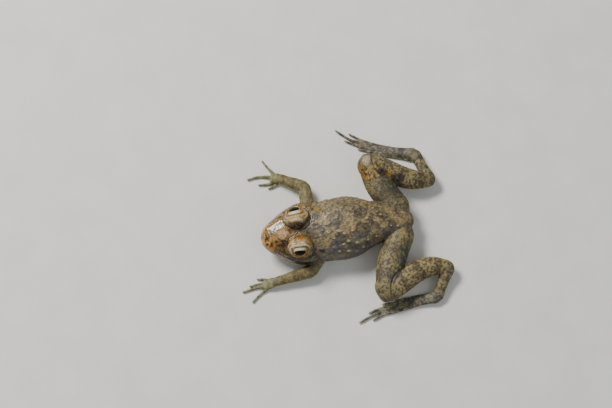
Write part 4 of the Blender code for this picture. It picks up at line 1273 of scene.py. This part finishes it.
def eye_material():
    """A gold iris with a pale upper band that is a painted reflection of a bright sky, a black level pupil
    and a clear, wet surface.
    """
    nodes = Nodes("frog_eye")
    split = nodes.add("ShaderNodeSeparateXYZ", {"Vector": nodes.place}).outputs
    along, across = nodes.scaled(split[0], 1 / MM), nodes.scaled(split[1], 1 / MM)
    pupil = nodes.radius(*[nodes.math("DIVIDE", way, half) for way, half in zip((along, across), PUPIL)])
    streaks = nodes.noise(1500, 6, 0.7)
    flecks = nodes.noise(4200, 3, 0.6)
    golds = ((0.3, tone(78, 48, 14)), (0.5, tone(164, 118, 46)), (0.72, tone(222, 184, 98)))
    iris = nodes.ramp(streaks, golds)
    # Painted reflection: the pale band over the upper iris stands in for the bright sky seen on the wet eye.
    upper = nodes.step(nodes.math("ADD", nodes.scaled(across, 0.3), 0.5), 0.66, 0.9)
    iris = nodes.blend(nodes.scaled(upper, 0.8), iris, opaque(196, 206, 184))
    iris = nodes.blend(nodes.scaled(nodes.step(flecks, 0.54, 0.68), 0.5), iris, opaque(70, 46, 20))
    edge = nodes.step(nodes.math("DIVIDE", nodes.radius(along, across), 4.0), 0.66, 0.78)
    iris = nodes.blend(edge, iris, opaque(30, 20, 10))
    ring = nodes.ramp(pupil, ((0.98, BLACK), (1.04, WHITE), (1.3, BLACK)))
    iris = nodes.blend(nodes.scaled(ring, 0.7), iris, opaque(240, 190, 96))
    hole = nodes.step(nodes.math("DIVIDE", pupil, 2.0), 0.49, 0.52)
    nodes.surface(Base_Color=nodes.blend(hole, (0.002, 0.002, 0.002, 1), iris))
    nodes.surface(Roughness=0.35, Specular_IOR_Level=0.05)
    nodes.surface(Coat_Weight=0.45, Coat_Roughness=0.02, Coat_IOR=1.33)
    return nodes.material


def finish_mesh(obj, material):
    """Scales a mesh from millimetres to metres, shades it smooth and gives it its material."""
    obj.data.transform(Matrix.Scale(MM, 4))
    obj.data.shade_smooth()
    obj.data.materials.append(material)
    return obj


def move_points(obj, points):
    obj.data.vertices.foreach_set("co", points.astype(np.float32).ravel())


def build_skin():
    pieces, paths = [body()], []
    for side in SIGNS:
        pieces.append(ellipsoid("eye_bulge", eye_frame(side)[0], EYE_BULGE))
        for build in (arm, leg):
            made, lines = build(side)
            pieces += made
            paths += lines
    skin = join("skin", pieces)
    fuse(skin, VOXEL)
    soften(skin, paths)
    at = surface_of(skin.data)
    height = head_relief(at) + trunk_relief(at) + joint_creases(at)
    points = lids(at.points + at.normals * height[:, None])
    points[:, 2] = np.maximum(points[:, 2], 0)
    move_points(skin, points)
    skin = join("skin", [skin, *[lid_margin(side) for side in SIGNS]])
    colour, wet = paint(surface_of(skin.data))
    lay_attribute(skin.data, "paint", colour)
    lay_attribute(skin.data, "wet", wet)
    return finish_mesh(skin, skin_material())


def build_eye(side, material):
    """An eyeball with a slightly raised clear front, in a frame of its own: along, to the crown, out."""
    centre, axes = eye_frame(side)
    sign = -SIGNS[side]
    ball = ellipsoid(f"eyeball_{side}", (0, 0, 0), [EYE_RADIUS] * 3, rings=72, sides=96)
    points = places_of(ball.data)
    across = np.hypot(points[:, 0], points[:, 1])
    points[:, 2] += CORNEA_RISE * ease(across, 3.0, 1.2) * (points[:, 2] > 0)
    move_points(ball, points)
    turn = Matrix(np.array([axes[0] * sign, axes[1] * sign, axes[2]]).T.tolist()).to_4x4()
    ball.matrix_world = Matrix.Translation(Vector(centre + axes[2] * EYE_PUSH) * MM) @ turn
    return finish_mesh(ball, material)


def stage_floor():
    """A pale floor under the frog, large enough to fill the view."""
    floor = solid("floor", [(x, y, 0) for x, y in ((-1, -1), (1, -1), (1, 1), (-1, 1))], [(0, 1, 2, 3)])
    floor.location.z = -FLOOR_DROP
    nodes = Nodes("floor")
    shade = nodes.ramp(nodes.noise(60, 5), ((0.3, (0.66, 0.65, 0.62)), (0.7, (0.72, 0.71, 0.69))))
    nodes.surface(Base_Color=shade, Roughness=0.7)
    floor.data.materials.append(nodes.material)


def camera():
    turn, lift = AZIMUTH, ELEVATION
    right = np.array([math.cos(turn), math.sin(turn), 0])
    up = np.array([-math.sin(lift) * math.sin(turn), math.sin(lift) * math.cos(turn), math.cos(lift)])
    back = np.array([math.sin(turn) * math.cos(lift), -math.cos(turn) * math.cos(lift), math.sin(lift)])
    aimed = right * VIEW_SHIFT[0] + up * VIEW_SHIFT[1] + back * AIM_LIFT
    data = bpy.data.cameras.new("camera")
    data.sensor_width = SENSOR
    data.lens = SENSOR * CAMERA_DISTANCE / VIEW_WIDTH
    data.clip_start, data.clip_end = 0.01, 20
    obj = link("camera", data)
    obj.location = Vector(aimed + back * CAMERA_DISTANCE) * MM
    obj.rotation_euler = Matrix(np.column_stack([right, up, back]).tolist()).to_euler()
    bpy.context.scene.camera = obj


def lights():
    """A large soft key from the upper left of the picture, a weak fill across from it, and an even sky."""
    for name, place, size, power, colour in SOFTBOXES:
        data = bpy.data.lights.new(name, "AREA")
        data.shape = "RECTANGLE"
        data.size, data.size_y = size
        data.energy = power
        data.color = colour
        obj = link(name, data)
        obj.location = place
        obj.rotation_euler = (LIT_PLACE - obj.location).to_track_quat("-Z", "Y").to_euler()
    world = bpy.data.worlds.new("studio")
    world.use_nodes = True
    sky = world.node_tree.nodes["Background"].inputs
    sky["Color"].default_value = SKY_COLOUR
    sky["Strength"].default_value = SKY_STRENGTH
    bpy.context.scene.world = world


def main():
    skin = build_skin()
    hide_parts(*SKIN_NODES, *[f"{name}_{side}" for name in PAIRED for side in SIGNS])
    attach(skin, "root")
    gold = eye_material()
    for side in SIGNS:
        ball = build_eye(side, gold)
        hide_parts(f"eye_{side}")
        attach(ball, "root")
    stage_floor()
    camera()
    lights()


main()
